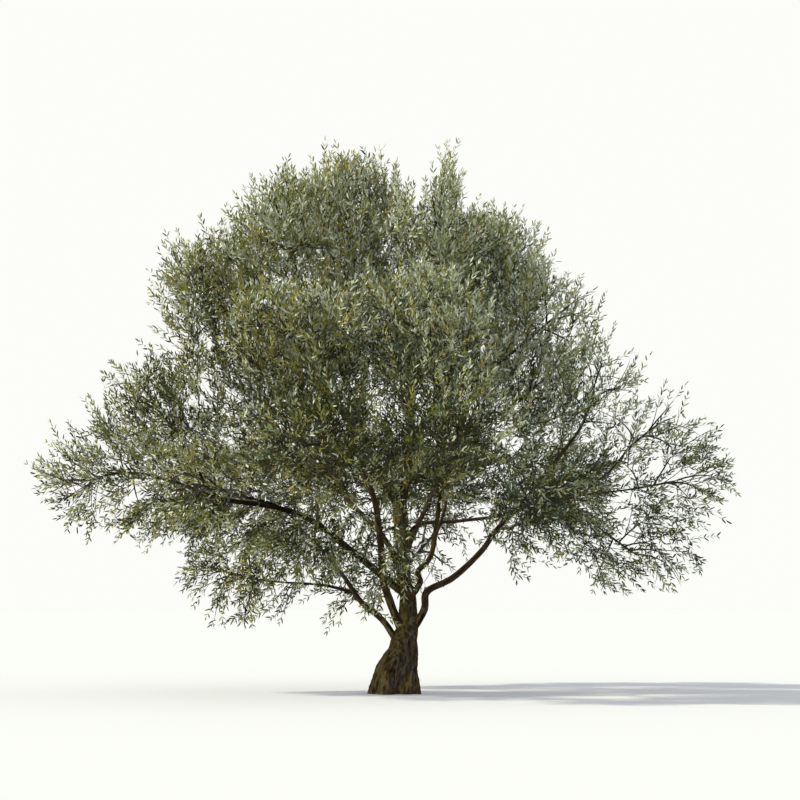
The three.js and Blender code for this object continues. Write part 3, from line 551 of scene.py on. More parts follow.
def random_from(seed):
    """A repeatable row of numbers from 0 to 1, as the part's source draws them."""
    whole = 0xFFFFFFFF
    state = seed

    def draw():
        nonlocal state
        state = (state + 0x6D2B79F5) & whole
        value = ((state ^ (state >> 15)) * (state | 1)) & whole
        value ^= (value + (value ^ (value >> 7)) * (value | 61)) & whole
        return (value ^ (value >> 14)) / 4294967296

    return draw


def spread(draw):
    """A drawn number from -1 to 1."""
    return draw() * 2 - 1


def mix(a, b, share):
    """The way from a to b, as far as the share."""
    return a + (b - a) * share


def unit(vectors):
    """Vectors, one to a row, at length one."""
    vectors = np.asarray(vectors, float)
    return vectors / np.maximum(np.linalg.norm(vectors, axis=-1, keepdims=True), 1e-9)


def point_tree(points):
    """Points sorted so that the nearest one to a place is soon found."""
    tree = kdtree.KDTree(len(points))
    for number, point in enumerate(points):
        tree.insert(point, number)
    tree.balance()
    return tree


def linked(name, data):
    """A new object of the scene that shows the data."""
    made = bpy.data.objects.new(name, data)
    bpy.context.scene.collection.objects.link(made)
    return made


# Limbs

def spline(points, shares):
    """Points of the Catmull-Rom curve through points, at shares of the way."""
    points = np.asarray(points, float)
    padded = np.concatenate([[2 * points[0] - points[1]], points, [2 * points[-1] - points[-2]]])
    place = np.clip(np.atleast_1d(shares), 0, 1) * (len(points) - 1)
    first = np.minimum(place.astype(int), len(points) - 2)
    part = (place - first)[:, None]
    before, start, stop, after = (padded[first + step] for step in range(4))
    leave = (stop - before) / 2
    arrive = (after - start) / 2
    curve = start + part * leave
    curve += part**2 * (3 * (stop - start) - 2 * leave - arrive)
    return curve + part**3 * (2 * (start - stop) + leave + arrive)


class Limb:
    """A limb's middle line, and its radius at every share of the way."""

    def __init__(self, name, points, radii):
        self.name = name
        self.points = np.asarray(points, float)
        self.radii = np.asarray(radii, float)[:, None]
        start, stop = self.at([0, 1])
        chord = unit(stop - start)
        side = np.array([1.0, 0, 0]) if abs(chord[1]) > ALONG_Y else np.array([0, 1.0, 0])
        self.side = unit(side - chord * (side @ chord))
        steps = self.at(np.linspace(0, 1, LENGTH_SAMPLES))
        self.length = np.linalg.norm(np.diff(steps, axis=0), axis=1).sum()

    def at(self, shares):
        return spline(self.points, shares)

    def tangent(self, shares):
        shares = np.atleast_1d(shares)
        return unit(self.at(shares + TANGENT_STEP) - self.at(shares - TANGENT_STEP))

    def radius(self, shares):
        shares = np.atleast_1d(shares)
        if len(self.radii) == 2:
            return mix(self.radii[0, 0], self.radii[1, 0], shares)
        return spline(self.radii, shares)[:, 0]

    def axes(self, shares):
        """The limb's direction and the two directions square to it."""
        along = self.tangent(shares)
        side = unit(self.side - along * (along @ self.side)[:, None])
        return along, side, np.cross(side, along)


def offset(places, middle, reach):
    """How far out each place is: 0 at the middle, 1 as far off as the reach."""
    return np.linalg.norm((places - np.asarray(middle)) / reach, axis=-1)


def fading(places, middle, reach, steepness):
    """1 round the middle, and less and less outwards until it is 0 at the reach."""
    return np.clip(steepness - steepness * offset(places, middle, reach), 0, 1)


def side_bough(name, parent, at, mass, draw):
    """A side bough, from its parent's middle to just inside its mass."""
    start = parent.at(at)[0]
    away = MIDDLES[mass] - start
    inside = min(ENTRY / offset(start, MIDDLES[mass], REACHES[mass]), 1 - SHORTEST_WAY)
    end = MIDDLES[mass] - away * inside
    length = np.linalg.norm(end - start)
    onward = unit(away)
    leaving = unit(parent.tangent(at)[0] * LEAVING + onward)
    handles = [start, start + leaving * HANDLE * length, end - onward * HANDLE * length, end]
    points = []
    for share in (0, 1 / 3, 2 / 3, 1):
        rest = 1 - share
        weights = (rest**3, 3 * rest**2 * share, 3 * rest * share**2, share**3)
        points.append(sum(weight * handle for weight, handle in zip(weights, handles)))
    for point in points[1:3]:
        point += [spread(draw) * WANDER * length for _ in range(3)]
    thick = parent.radius(at)[0] * SIDE_THICKNESS
    return Limb(name, points, [thick, max(thick * SIDE_TAPER, THINNEST_TIP)])


def all_limbs():
    """Every limb by name, the trunk first, and the limb that carries each mass."""
    course = np.array(TRUNK_COURSE)
    limbs = {"trunk": Limb("trunk", course[:, :3], course[:, 3])}
    carrier = {TRUNK_MASS: limbs["trunk"]}
    for name, mass, thick, thin, way in MAIN_BOUGHS:
        limbs[name] = Limb(name, way, [thick, thin])
        carrier[mass] = limbs[name]
    for index, (name, mass, parent, at) in enumerate(SIDE_BOUGHS):
        draw = random_from(BOUGH_SEED + index)
        limbs[name] = side_bough(name, limbs[parent], at, MASS_NAMES.index(mass), draw)
        carrier[mass] = limbs[name]
    return limbs, carrier


# Twigs

class Twigs:
    """A table of twigs: the start, bend and end of each, its radius at both ends, and its mass."""

    def __init__(self, start, bend, end, thick, thin, mass):
        self.start, self.bend, self.end = (np.asarray(points, float) for points in (start, bend, end))
        self.thick, self.thin = np.asarray(thick, float), np.asarray(thin, float)
        self.mass = np.asarray(mass, int)

    def __len__(self):
        return len(self.mass)

    def pick(self, chosen):
        return Twigs(self.start[chosen], self.bend[chosen], self.end[chosen], self.thick[chosen],
                     self.thin[chosen], self.mass[chosen])

    def at(self, share):
        share = np.reshape(share, (-1, 1))
        rest = 1 - share
        return rest**2 * self.start + 2 * rest * share * self.bend + share**2 * self.end

    def tangent(self, share):
        share = np.reshape(share, (-1, 1))
        return unit((1 - share) * (self.bend - self.start) + share * (self.end - self.bend))

    def radius(self, share):
        return mix(self.thick, self.thin, np.reshape(share, -1))

    def length(self):
        return np.linalg.norm(self.end - self.start, axis=1)


def joined(tables):
    """Several tables of twigs as one."""
    parts = ("start", "bend", "end", "thick", "thin", "mass")
    return Twigs(*(np.concatenate([getattr(table, part) for table in tables]) for part in parts))


def waves(places):
    """From -1 to 1, swelling and sinking from place to place, to break up the outlines of the masses."""
    total = np.zeros(len(places))
    for number, length in enumerate(WAVE_LENGTHS):
        turn = number * WAVE_TURN
        way = unit([math.sin(turn), math.cos(turn), math.sin(number * WAVE_TILT)])
        total += np.sin(places @ way * 2 * math.pi / length + number * WAVE_SHIFT)
    return total / len(WAVE_LENGTHS)


def mass_offsets(places):
    """How far out in every mass each place is: 0 in its middle, 1 at its edge."""
    return offset(places[:, None], MIDDLES, REACHES)


def in_own_space(points, mass):
    """Which points are within their mass's reach, and nearer to it than to its neighbours."""
    away = mass_offsets(points)
    rows = np.arange(len(points))
    own = away[rows, mass]
    away[rows, mass] = np.inf
    return (own <= 1) & (away.min(axis=1) > own + SPACE_MARGIN)


def crown_depth(away):
    """How deep in the crown a place is, from its offsets in the masses: 1 at the edge of a lone mass.

    Where masses lie side by side, the cleft between them counts as crown too, so that leaves close over it.
    """
    return np.exp(CLEFT_FILL * (1 - away**2)).sum(axis=1)


def in_crown(points, mass, limit, overlap):
    """Which points are in the crown, near enough to their own mass."""
    away = mass_offsets(points)
    own = away[np.arange(len(points)), mass]
    near = (own < FURTHEST_FROM_OWN * limit) & (own < away.min(axis=1) + overlap)
    edge = limit + THIN_LIMIT * (1 - FULLNESS[mass]) + WAVE_HEIGHT * waves(points)
    return near & (crown_depth(away) > np.exp(CLEFT_FILL * (1 - edge**2)))


def height_share(height):
    """0 in the low crown, 1 in the high crown."""
    return np.clip((height - LOW_CROWN) / (HIGH_CROWN - LOW_CROWN), 0, 1)


def square_axes(directions):
    """Two directions square to each direction, the first of them level."""
    level = unit(np.stack([-directions[:, 1], directions[:, 0], np.full(len(directions), 1e-6)], axis=1))
    return level, np.cross(directions, level)


def mass_stem(mass, bough):
    """The stem of a mass goes on from its bough's tip, or out of the trunk's middle."""
    from_trunk = MASS_NAMES[mass] == TRUNK_MASS
    share = TRUNK_MASS_SHARE if from_trunk else 1
    tangent = bough.tangent(share)[0]
    start = bough.at(share)[0]
    if from_trunk:
        tangent = unit(MIDDLES[mass] - start)
    else:
        start = start + tangent * TOUCH_GAP
    way = MIDDLES[mass] - start
    bend = start + tangent * np.linalg.norm(way) * STEM_BEND
    end = MIDDLES[mass] + way * STEM_PAST_MIDDLE
    thick = TRUNK_STEM_RADIUS if from_trunk else bough.radius(1)[0]
    return Twigs([start], [bend], [end], [thick], [STEM_TIP_RADIUS], [mass])


def main_twigs(mass, stem, draw):
    """The main twigs of a mass, whose tips are spread evenly over its edge, as in the part's source."""
    turn = draw() * 2 * math.pi
    outward = unit(MIDDLES[mass] - stem.start)
    level, across = square_axes(outward)
    targets = []
    for index in range(MAIN_TWIGS):
        height = 1 if index == 0 else 1 - (2 * index - 1) / (MAIN_TWIGS - 1)
        angle = index * GOLDEN_ANGLE + turn
        ring = math.sqrt(1 - height * height)
        direction = outward[0] * height + ring * (level[0] * math.cos(angle) + across[0] * math.sin(angle))
        if index > 0:
            direction = direction + [TWIG_STRAY * spread(draw) for _ in range(3)]
        direction = unit(direction) * REACHES[mass]
        for reach in np.arange(TWIG_REACH, TWIG_LEAST_REACH, -TWIG_REACH_STEP):
            target = MIDDLES[mass] + direction * reach
            if in_own_space(target[None], [mass])[0]:
                targets.append(target)
                break
    targets.sort(key=lambda target: np.linalg.norm(target - stem.start[0]))
    start, bend, end, thick = [], [], [], []
    arch = mix(LOW_ARCH, HIGH_ARCH, height_share(MIDDLES[mass][2]))
    for index, target in enumerate(targets):
        share = mix(FIRST_TWIG, 1, (index + 0.5) / MAIN_TWIGS)
        foot = stem.at(share)[0]
        length = np.linalg.norm(target - foot)
        start.append(foot)
        bend.append((foot + target) / 2 + UP * arch * length + stem.tangent(share)[0] * TWIG_LEAVING * length)
        end.append(target)
        thick.append(stem.radius(share)[0] * TWIG_TO_STEM)
    return Twigs(start, bend, end, thick, [TWIG_TIP_RADIUS] * len(start), [mass] * len(start))


def lean(places):
    """The way shoots turn at each place: outwards, up in the high crown and down under its low edge."""
    outward = unit(places - CROWN_MIDDLE)
    share = np.clip((places[:, 2] - DROOP_BELOW) / (UPRIGHT_ABOVE - DROOP_BELOW), 0, 1)
    sway = np.stack([waves(places), waves(places + SWAY_APART), np.zeros(len(places))], axis=1)
    return unit(outward * LEAN_OUT + UP * mix(DROOP, UPRIGHT, share)[:, None] + sway * SWAY)


def finer_twigs(parents, rule, random):
    """The twigs that each twig carries, by the rule of the main twigs round their stem.

    Their aims are spread evenly round a place on it, and each is drawn in until it is in the crown.
    """
    count = rule["count"]
    turn = random.uniform(0, 2 * math.pi, len(parents))
    outward = parents.tangent(1.0)
    level, across = square_axes(outward)
    middle = parents.at(rule["middle"])
    arch = mix(LOW_ARCH, HIGH_ARCH, height_share(middle[:, 2]))[:, None]
    rise = lean(middle) * rule["rise"]
    grown = []
    for index in range(count):
        height = mix(1, rule["lowest"], max(2 * index - 1, 0) / (2 * count - 3))
        ring = math.sqrt(1 - height * height)
        angle = (turn + index * GOLDEN_ANGLE)[:, None]
        aim = outward * height + ring * (level * np.cos(angle) + across * np.sin(angle))
        aim = unit(aim + rule["stray"] * random.uniform(-1, 1, aim.shape) + rise)
        reach = rule["reach"] * (1 + REACH_VARIES * random.uniform(-1, 1, (len(parents), 1)))
        place = (index + random.uniform(-FOOT_STRAY, FOOT_STRAY, len(parents))) / (count - 1)
        share = np.clip(mix(1, rule["first"], place), 0, 1)
        start = parents.at(share)
        end = middle + aim * reach
        limit = rule["limit"] + LIMIT_VARIES * random.uniform(-1, 1, len(parents))
        placed = in_crown(end, parents.mass, limit, rule["overlap"])
        for shorter in (*DRAWN_IN, rule["least"]):
            nearer = middle + aim * reach * shorter
            fits = ~placed & in_crown(nearer, parents.mass, limit, rule["overlap"])
            end[fits] = nearer[fits]
            placed |= fits
        length = np.linalg.norm(end - start, axis=1)[:, None]
        bend = (start + end) / 2 + (UP * arch + parents.tangent(share)) * rule["leaving"] * length
        thick = np.minimum(rule["thick"], parents.radius(share) * THICKEST)
        thin = np.full(len(parents), rule["thin"])
        kept = placed & (random.random(len(parents)) > loss(end))
        grown.append(Twigs(start, bend, end, thick, thin, parents.mass).pick(kept))
    return joined(grown)


def loss(places):
    """The share of the growth that is missing, by an edge, in the shaded inside, a thin mass or a bay."""
    x, z = places[:, 0], places[:, 2]
    slope = x * RIGHT_SLOPE[0] + z * RIGHT_SLOPE[1]
    edges = [(slope, OPEN_RIGHT_TOP), (x, OPEN_RIGHT), (x, OPEN_LEFT), (z, OPEN_FOOT)]
    thinning = [np.clip((value - dense) / (thin - dense), 0, 1) for value, (dense, thin) in edges]
    openness = np.max(thinning, axis=0)
    inside = fading(places, HOLLOW_MIDDLE, HOLLOW_REACH, HOLLOW_FADE)
    sparse = 1 - FULLNESS[mass_offsets(places).argmin(axis=1)]
    bays = [share * (offset(places, middle, reach) < 1) for middle, reach, share in BAYS]
    return np.max([OPEN_LOSS * openness, HOLLOW_LOSS * inside, sparse, *bays], axis=0)


def with_spikes(shoots, random):
    """The same shoots, some of those at the crown's edge grown longer, so that they stand out of it."""
    edge = crown_depth(mass_offsets(shoots.end)) < EDGE_DEPTH
    edge &= (shoots.end[:, 2] > SPIKES_ABOVE) & (random.random(len(shoots)) < SPIKE_SHARE)
    longer = SPIKE * random.uniform(SHORTEST_SPIKE, 1, len(shoots)) * edge
    end = shoots.end + lean(shoots.end) * longer[:, None]
    return Twigs(shoots.start, (shoots.start + end) / 2, end, shoots.thick, shoots.thin, shoots.mass)


def empty_places(taken, size, lowest, random):
    """Places in the crown, one to each cell of that size that no taken point is in."""
    low, high = (MIDDLES - REACHES).min(axis=0), (MIDDLES + REACHES).max(axis=0)
    counts = np.ceil((high - low) / size).astype(int)
    steps = [np.arange(count) for count in counts]
    cells = np.stack(np.meshgrid(*steps, indexing="ij"), axis=-1).reshape(-1, 3)
    places = low + (cells + random.uniform(*CELL_STRAY, cells.shape)) * size
    full = np.zeros(counts, bool)
    full[tuple(np.clip(((taken - low) / size).astype(int), 0, counts - 1).T)] = True
    mass = mass_offsets(places).argmin(axis=1)
    limit = SHOOTS["limit"] - CELL_INSIDE + LIMIT_VARIES * random.uniform(-1, 1, len(places))
    wanted = ~full[tuple(cells.T)] & (places[:, 2] > lowest) & in_crown(places, mass, limit, 1)
    wanted &= random.random(len(places)) > loss(places)
    return places[wanted], mass[wanted]


def twig_points(twigs, first):
    """Points along twigs that a finer twig can leave, with the direction and the radius there."""
    shares = np.linspace(first, 1, TWIG_PLACES)
    parts = (twigs.at, twigs.tangent, twigs.radius)
    return [np.concatenate([part(share) for share in shares]) for part in parts]


def limb_points(limbs):
    """Points along the outer two thirds of the boughs, as twig_points has them along twigs."""
    rows = []
    for limb in limbs.values():
        if limb.name != "trunk":
            shares = np.arange(BOUGH_FIRST, 1, BOUGH_SPACING / limb.length)
            rows.append((limb.at(shares), limb.tangent(shares), limb.radius(shares)))
    return [np.concatenate(part) for part in zip(*rows)]


def reaching(places, mass, wood, rule, behind, longest):
    """Twigs that reach those places, each from the nearest wood behind it, and run on a little past it."""
    feet, ways, radii = wood
    tree = point_tree(feet)
    onward = lean(places)
    nearest = np.array([tree.find(place)[1] for place in places - onward * behind])
    start = feet[nearest]
    end = places + unit(unit(places - start) + onward) * CELL_PAST
    length = np.linalg.norm(end - start, axis=1)
    bend = (start + end) / 2 + ways[nearest] * rule["leaving"] * length[:, None]
    thick = np.minimum(rule["thick"], radii[nearest] * THICKEST)
    thin = np.full(len(places), rule["thin"])
    return Twigs(start, bend, end, thick, thin, mass).pick(length < longest)


def sprouts(limbs, random):
    """Side twigs that stand on the bare boughs inside the crown."""
    start, end, thick = [], [], []
    for name, first, last, count, rising, length in SPROUTS:
        limb = limbs[name]
        for number in range(count):
            share = mix(first, last, (number + random.random()) / count)
            along, side, across = (axis[0] for axis in limb.axes([share]))
            angle = random.uniform(0, 2 * math.pi)
            away = along * SPROUT_ALONG + side * math.cos(angle) + across * math.sin(angle) + UP * rising
            foot = limb.at(share)[0]
            start.append(foot)
            end.append(foot + unit(away) * length * random.uniform(*SPROUT_LENGTHS))
            thick.append(min(SPROUT_RADIUS, limb.radius(share)[0] * SPROUT_TO_BOUGH))
    start, end = np.array(start), np.array(end)
    bend = (start + end) / 2 + UP * SPROUT_ARCH
    mass = mass_offsets(end).argmin(axis=1)
    return Twigs(start, bend, end, thick, np.full(len(start), SIDE_TWIGS["thin"]), mass)


# Meshes from arrays

def mesh_object(name, vertices, faces, material):
    """One smooth piece from an array of vertices and one of faces that all have as many corners."""
    corners = faces.shape[1]
    mesh = bpy.data.meshes.new(name)
    mesh.vertices.add(len(vertices))
    mesh.vertices.foreach_set("co", np.ascontiguousarray(vertices, np.float32).ravel())
    mesh.loops.add(faces.size)
    mesh.loops.foreach_set("vertex_index", np.ascontiguousarray(faces, np.int32).ravel())
    mesh.polygons.add(len(faces))
    mesh.polygons.foreach_set("loop_start", np.arange(0, faces.size, corners, dtype=np.int32))
    mesh.polygons.foreach_set("use_smooth", np.full(len(faces), True))
    mesh.update(calc_edges=True)
    mesh.validate()
    mesh.materials.append(material)
    return linked(name, mesh)


def twig_arrays(twigs, sides, rings):
    """Vertices and triangles of tapering twigs, each closed to a point at its tip and flat at its foot."""
    angles = np.arange(sides) * 2 * math.pi / sides
    level, across = square_axes(twigs.tangent(0.5))
    circle = level[:, None] * np.cos(angles)[:, None] + across[:, None] * np.sin(angles)[:, None]
    loops = []
    for ring in range(rings):
        share = ring / rings
        radius = twigs.radius(np.full(len(twigs), share))[:, None, None]
        loops.append(twigs.at(share)[:, None] + circle * radius)
    vertices = np.concatenate([*loops, twigs.end[:, None]], axis=1)
    triangles = []
    for side in range(sides):
        after = (side + 1) % sides
        for ring in range(rings - 1):
            low, high = ring * sides, (ring + 1) * sides
            triangles.append((low + side, low + after, high + after))
            triangles.append((low + side, high + after, high + side))
        last = (rings - 1) * sides
        triangles.append((last + side, last + after, rings * sides))
    for side in range(1, sides - 1):
        triangles.append((0, side + 1, side))
    each = vertices.shape[1]
    faces = np.array(triangles)[None] + (np.arange(len(twigs)) * each)[:, None, None]
    return vertices.reshape(-1, 3), faces.reshape(-1, 3)


def leaf_size(share):
    """How long a leaf is by its place on the shoot: the longest stand near the middle."""
    swell = np.sin(math.pi * (SWELL_START + SWELL_WAY * np.clip(share, 0, 1)))
    return LEAF_LENGTH * (SMALL_LEAF + LEAF_SWELL * swell)


def leaf_frames(shoots, random):
    """Where every leaf starts, its direction, the way its upper side faces, its length, and its shoot."""
    count = len(shoots)
    roll = random.uniform(0, 2 * math.pi, count)
    outward = unit(shoots.end - CROWN_MIDDLE) + UP
    long = np.maximum(shoots.length(), 1e-6)
    starts, directions, faces, lengths, owners = [], [], [], [], []
    for pair in range(-1, MOST_PAIRS):
        at_tip = pair < 0
        from_tip = pair + FIRST_PAIR + random.uniform(-PAIR_STRAY, PAIR_STRAY, count)
        share = np.ones(count) if at_tip else 1 - from_tip * PAIR_SPACING / long
        along = shoots.tangent(share)
        level, across = square_axes(along)
        for side in range(1 if at_tip else 2):
            angle = roll + pair * PAIR_TURN + side * math.pi + random.uniform(-TURN_STRAY, TURN_STRAY, count)
            away = level * np.cos(angle)[:, None] + across * np.sin(angle)[:, None]
            opening = LEAF_OPENING * (1 + LEAF_OPENING_VARIES * random.uniform(-1, 1, count))[:, None]
            opening = opening * (TIP_OPENING if at_tip else 1)
            direction = unit(along * np.cos(opening) + away * np.sin(opening) + UP * LEAF_RISE)
            blade = unit(np.cross(direction, along))
            blade *= np.where((blade * outward).sum(axis=1, keepdims=True) < 0, -1, 1)
            face = unit(along + UP * FACE_UP) * (1 - BLADE_TURN) + blade * BLADE_TURN
            face = face + random.normal(0, FACE_STRAY, (count, 3))
            face = unit(face - direction * (face * direction).sum(axis=1, keepdims=True))
            kept = (random.random(count) > LEAF_LOST) & (share * long > PAIR_SPACING / 2)
            length = leaf_size(share) * (1 + LEAF_LENGTH_VARIES * random.uniform(-1, 1, count))
            starts.append(shoots.at(share)[kept])
            directions.append(direction[kept])
            faces.append(face[kept])
            lengths.append(length[kept])
            owners.append(np.flatnonzero(kept))
    return tuple(np.concatenate(part) for part in (starts, directions, faces, lengths, owners))


def leaf_arrays(start, direction, face, length, stations, shoulders, triangles):
    """Vertices and triangles of leaves: a slim outline, pointed at both ends, that bends down at its tip."""
    sideways = np.cross(direction, face)
    long = length[:, None]
    corners = [start]
    for station, shoulder in zip(stations, shoulders):
        middle = start + direction * station * long - face * LEAF_CURL * station**2 * long
        half = sideways * long * LEAF_WIDTH * shoulder / 2
        corners += [middle - half, middle + half]
    corners.append(start + direction * long - face * LEAF_CURL * long)
    vertices = np.stack(corners, axis=1)
    faces = np.array(triangles)[None] + (np.arange(len(start)) * len(corners))[:, None, None]
    return vertices.reshape(-1, 3), faces.reshape(-1, 3)


def outer_leaves(*frames):
    """Leaves at the crown's edge, of four triangles."""
    return leaf_arrays(*frames, LEAF_STATIONS, LEAF_SHOULDERS, [(0, 2, 1), (1, 2, 4), (1, 4, 3), (3, 4, 5)])


def inner_leaves(*frames):
    """Leaves inside the crown, of two triangles."""
    return leaf_arrays(*frames, [INNER_STATION], [INNER_SHOULDER], [(0, 2, 1), (1, 2, 3)])


# Shader

class Value:
    """A socket that can be used in sums: each operator adds the Math node that does it."""

    def __init__(self, shader, socket):
        self.shader, self.socket = shader, socket

    def math(self, operation, *values):
        return self.shader.node("ShaderNodeMath", {"operation": operation}, values)

    def __add__(self, other):
        return self.math("ADD", self, other)

    def __sub__(self, other):
        return self.math("SUBTRACT", self, other)

    def __rsub__(self, other):
        return self.math("SUBTRACT", other, self)

    def __mul__(self, other):
        return self.math("MULTIPLY", self, other)

    def __pow__(self, other):
        return self.math("POWER", self, other)

    __radd__ = __add__
    __rmul__ = __mul__

    def smooth(self, low, high):
        """0 where this is below low, 1 above high, and a smooth step between them."""
        settings = {"interpolation_type": "SMOOTHSTEP"}
        sockets = {"Value": self, "From Min": low, "From Max": high, "To Min": 0.0, "To Max": 1.0}
        return self.shader.node("ShaderNodeMapRange", settings, sockets)


class Shader:
    """One material's nodes."""

    def __init__(self, name):
        self.material = bpy.data.materials.new(name)
        self.material.use_nodes = True
        self.nodes = self.material.node_tree.nodes
        self.links = self.material.node_tree.links
        self.surface = self.nodes["Principled BSDF"]

    def put(self, socket, value):
        """Links a value to the socket, or sets a number or a colour on it."""
        if isinstance(value, Value):
            self.links.new(value.socket, socket)
        elif hasattr(socket.default_value, "__len__") and len(socket.default_value) == 4:
            socket.default_value = (*value, 1.0)
        else:
            socket.default_value = value

    def node(self, kind, settings=None, sockets=None, output=0):
        """A node of that kind. Its settings come first, then the values or links of its sockets."""
        made = self.nodes.new(kind)
        for setting, value in (settings or {}).items():
            setattr(made, setting, value)
        pairs = sockets.items() if isinstance(sockets, dict) else enumerate(sockets or [])
        for key, value in pairs:
            self.put(made.inputs[key], value)
        return Value(self, made.outputs[output])

    def set(self, **inputs):
        """Values for the surface's own inputs."""
        for name, value in inputs.items():
            self.put(self.surface.inputs[name.replace("_", " ")], value)

    def place(self):
        """The point in the object's own space."""
        return self.node("ShaderNodeTexCoord", output="Object")

    def attribute(self, name, output="Fac"):
        return self.node("ShaderNodeAttribute", {"attribute_name": name}, output=output)

    def axis(self, vector, name):
        """One axis of a vector."""
        return self.node("ShaderNodeSeparateXYZ", {}, [vector], output=name)

    def noise(self, vector, scale, detail, roughness):
        sockets = {"Vector": vector, "Scale": scale, "Detail": detail, "Roughness": roughness}
        return self.node("ShaderNodeTexNoise", {}, sockets)

    def blend(self, a, b, factor):
        """Colour a where factor is 0, and b where it is 1."""
        sockets = {"Factor": factor, 6: a, 7: b}
        return self.node("ShaderNodeMix", {"data_type": "RGBA"}, sockets, output=2)

    def bump(self, height, strength, distance):
        sockets = {"Height": height, "Strength": strength, "Distance": distance}
        return self.node("ShaderNodeBump", {}, sockets)


def bark_material():
    """Near-black bark, its furrows partly painted shade, with weathered brown ridges, redder patches, a
    greyer strip on its right and golden moss, partly painted sunlight where it faces the sun on the left.

    The outer boughs are redder, and darker with painted shade under the crown, with painted sunlight on their
    upper sides, and those on the left are painted nearly black with shade.
    """
    shader = Shader("bark")
    place = shader.place()
    x, z = shader.axis(place, "X"), shader.axis(place, "Z")
    normal = shader.node("ShaderNodeNewGeometry", output="Normal")
    facing, upward = shader.axis(normal, "X"), shader.axis(normal, "Z")
    grain = shader.attribute("grain", output="Vector")
    relief = shader.attribute("relief")
    streaks = shader.noise(grain, *STREAKS)
    flakes = shader.noise(grain, *FLAKES)
    outer = ((x - LEADER_X) ** 2).smooth(*OUTER_AWAY) * z.smooth(*OUTER_HEIGHT)
    # more moss where the bark faces left, to the sun: partly painted sunlight
    moss = shader.noise(place, *MOSS_SPOTS) + MOSS_ON_STREAKS * streaks - MOSS_AND_SUN_FACING_LEFT * facing
    moss = moss + MOSS_HIGH_UP * z.smooth(*MOSS_HEIGHT) - MOSS_BY_LEADERS * outer
    ridge = (relief + 0.5 * streaks).smooth(*RIDGES)
    # 0 deep in the furrows, where the near-black is partly painted shade
    furrow = relief.smooth(*FURROWS)
    strip = facing.smooth(*STRIP_BEGINS) * (1 - facing.smooth(*STRIP_ENDS)) * streaks.smooth(*STRIP_STREAKS)
    # painted sunlight on the upper sides
    lit_tops = upward.smooth(*UPPER_SIDES) * streaks.smooth(*TOP_LIGHT_STREAKS)
    coats = [
        (BARK_COAT, furrow),
        (RIDGE_COAT, ridge * streaks.smooth(*RIDGE_STREAKS)),
        (PATCH_COAT, shader.noise(place, *PATCHES).smooth(*PATCH_SPOTS)),
        (STRIP_COAT, strip * furrow),
        (MOSS_COAT, moss.smooth(*MOSSY) * (MOSS_IN_FURROWS + MOSS_ON_RIDGES * ridge)),
        # redder bark, and partly painted shade under the crown, on the outer boughs
        (OUTER_COAT, outer),
        (TOP_LIGHT_COAT, outer * lit_tops),
        # painted shade: the boughs on the left nearly black
        (LEFT_SHADE_COAT, (-1.0 * x).smooth(*FAR_LEFT)),
    ]
    colour = FURROW_COLOUR
    for (tone, cover), mask in coats:
        colour = shader.blend(colour, tone, mask * cover)
    roughness = BARK_ROUGHNESS - RIDGES_SMOOTHER * ridge
    shader.set(Base_Color=colour, Roughness=roughness, Specular_IOR_Level=BARK_GLOSS)
    shader.set(Normal=shader.bump(flakes + BUMP_STREAKS * streaks, BUMP_STRENGTH, BUMP_DEPTH))
    return shader.material


def twig_material(name, colour, pale):
    """Thin wood: smooth grey-brown bark with paler spots."""
    shader = Shader(name)
    spots = shader.noise(shader.place(), *TWIG_SPOTS)
    colour = shader.blend(colour, pale, spots.smooth(*PALE_SPOTS))
    shader.set(Base_Color=colour, Roughness=TWIG_ROUGHNESS)
    return shader.material


def leaf_material(name, colour):
    """A leathery leaf, of one colour for each tint, as the tints are dealt out by shoot."""
    shader = Shader(f"leaf_{name}")
    shader.set(Base_Color=colour, Roughness=LEAF_ROUGHNESS, Specular_IOR_Level=LEAF_GLOSS)
    return shader.material


# Bark

def flute(limb, shares, angles):
    """The foot's lobes: full at the ground, gone at the top of the flutes."""
    height = limb.at(shares)[:, 2]
    fade = np.exp(-((height / FLUTE_HEIGHT) ** 2))[:, None]
    lobes = np.cos(FLUTES * (angles - FLUTE_TURN)) + SMALL_FLUTE_SHARE * np.cos(SMALL_FLUTES * angles)
    spur = np.maximum(np.cos(angles), 0) ** 2
    return 1 + fade * (FLUTE_DEPTH * lobes + SPUR * spur)[None]


def limb_arrays(limb, first, last, step, sides):
    """Vertices, four-sided faces and the two end caps of a stretch of limb, from its share first to last."""
    rings = max(2, int(limb.length * (last - first) / step))
    shares = np.linspace(first, last, rings + 1)
    angles = np.arange(sides) * 2 * math.pi / sides
    _, side, across = limb.axes(shares)
    radius = np.repeat(limb.radius(shares)[:, None], sides, axis=1)
    if limb.name == "trunk":
        radius = radius * flute(limb, shares, angles)
    circle = side[:, None] * np.sin(angles)[:, None] + across[:, None] * np.cos(angles)[:, None]
    vertices = limb.at(shares)[:, None] + circle * radius[:, :, None]
    index = np.arange((rings + 1) * sides).reshape(rings + 1, sides)
    beside = np.roll(index, -1, axis=1)
    faces = np.stack([index[:-1], beside[:-1], beside[1:], index[1:]], axis=-1).reshape(-1, 4)
    return vertices.reshape(-1, 3), faces, [index[0][::-1], index[-1]]


def closed_limb(limb, first, last, step, sides):
    """A mesh of one stretch of limb with both its ends closed."""
    vertices, faces, caps = limb_arrays(limb, first, last, step, sides)
    mesh = bpy.data.meshes.new(limb.name)
    mesh.from_pydata(vertices.tolist(), [], faces.tolist() + [cap.tolist() for cap in caps])
    return mesh


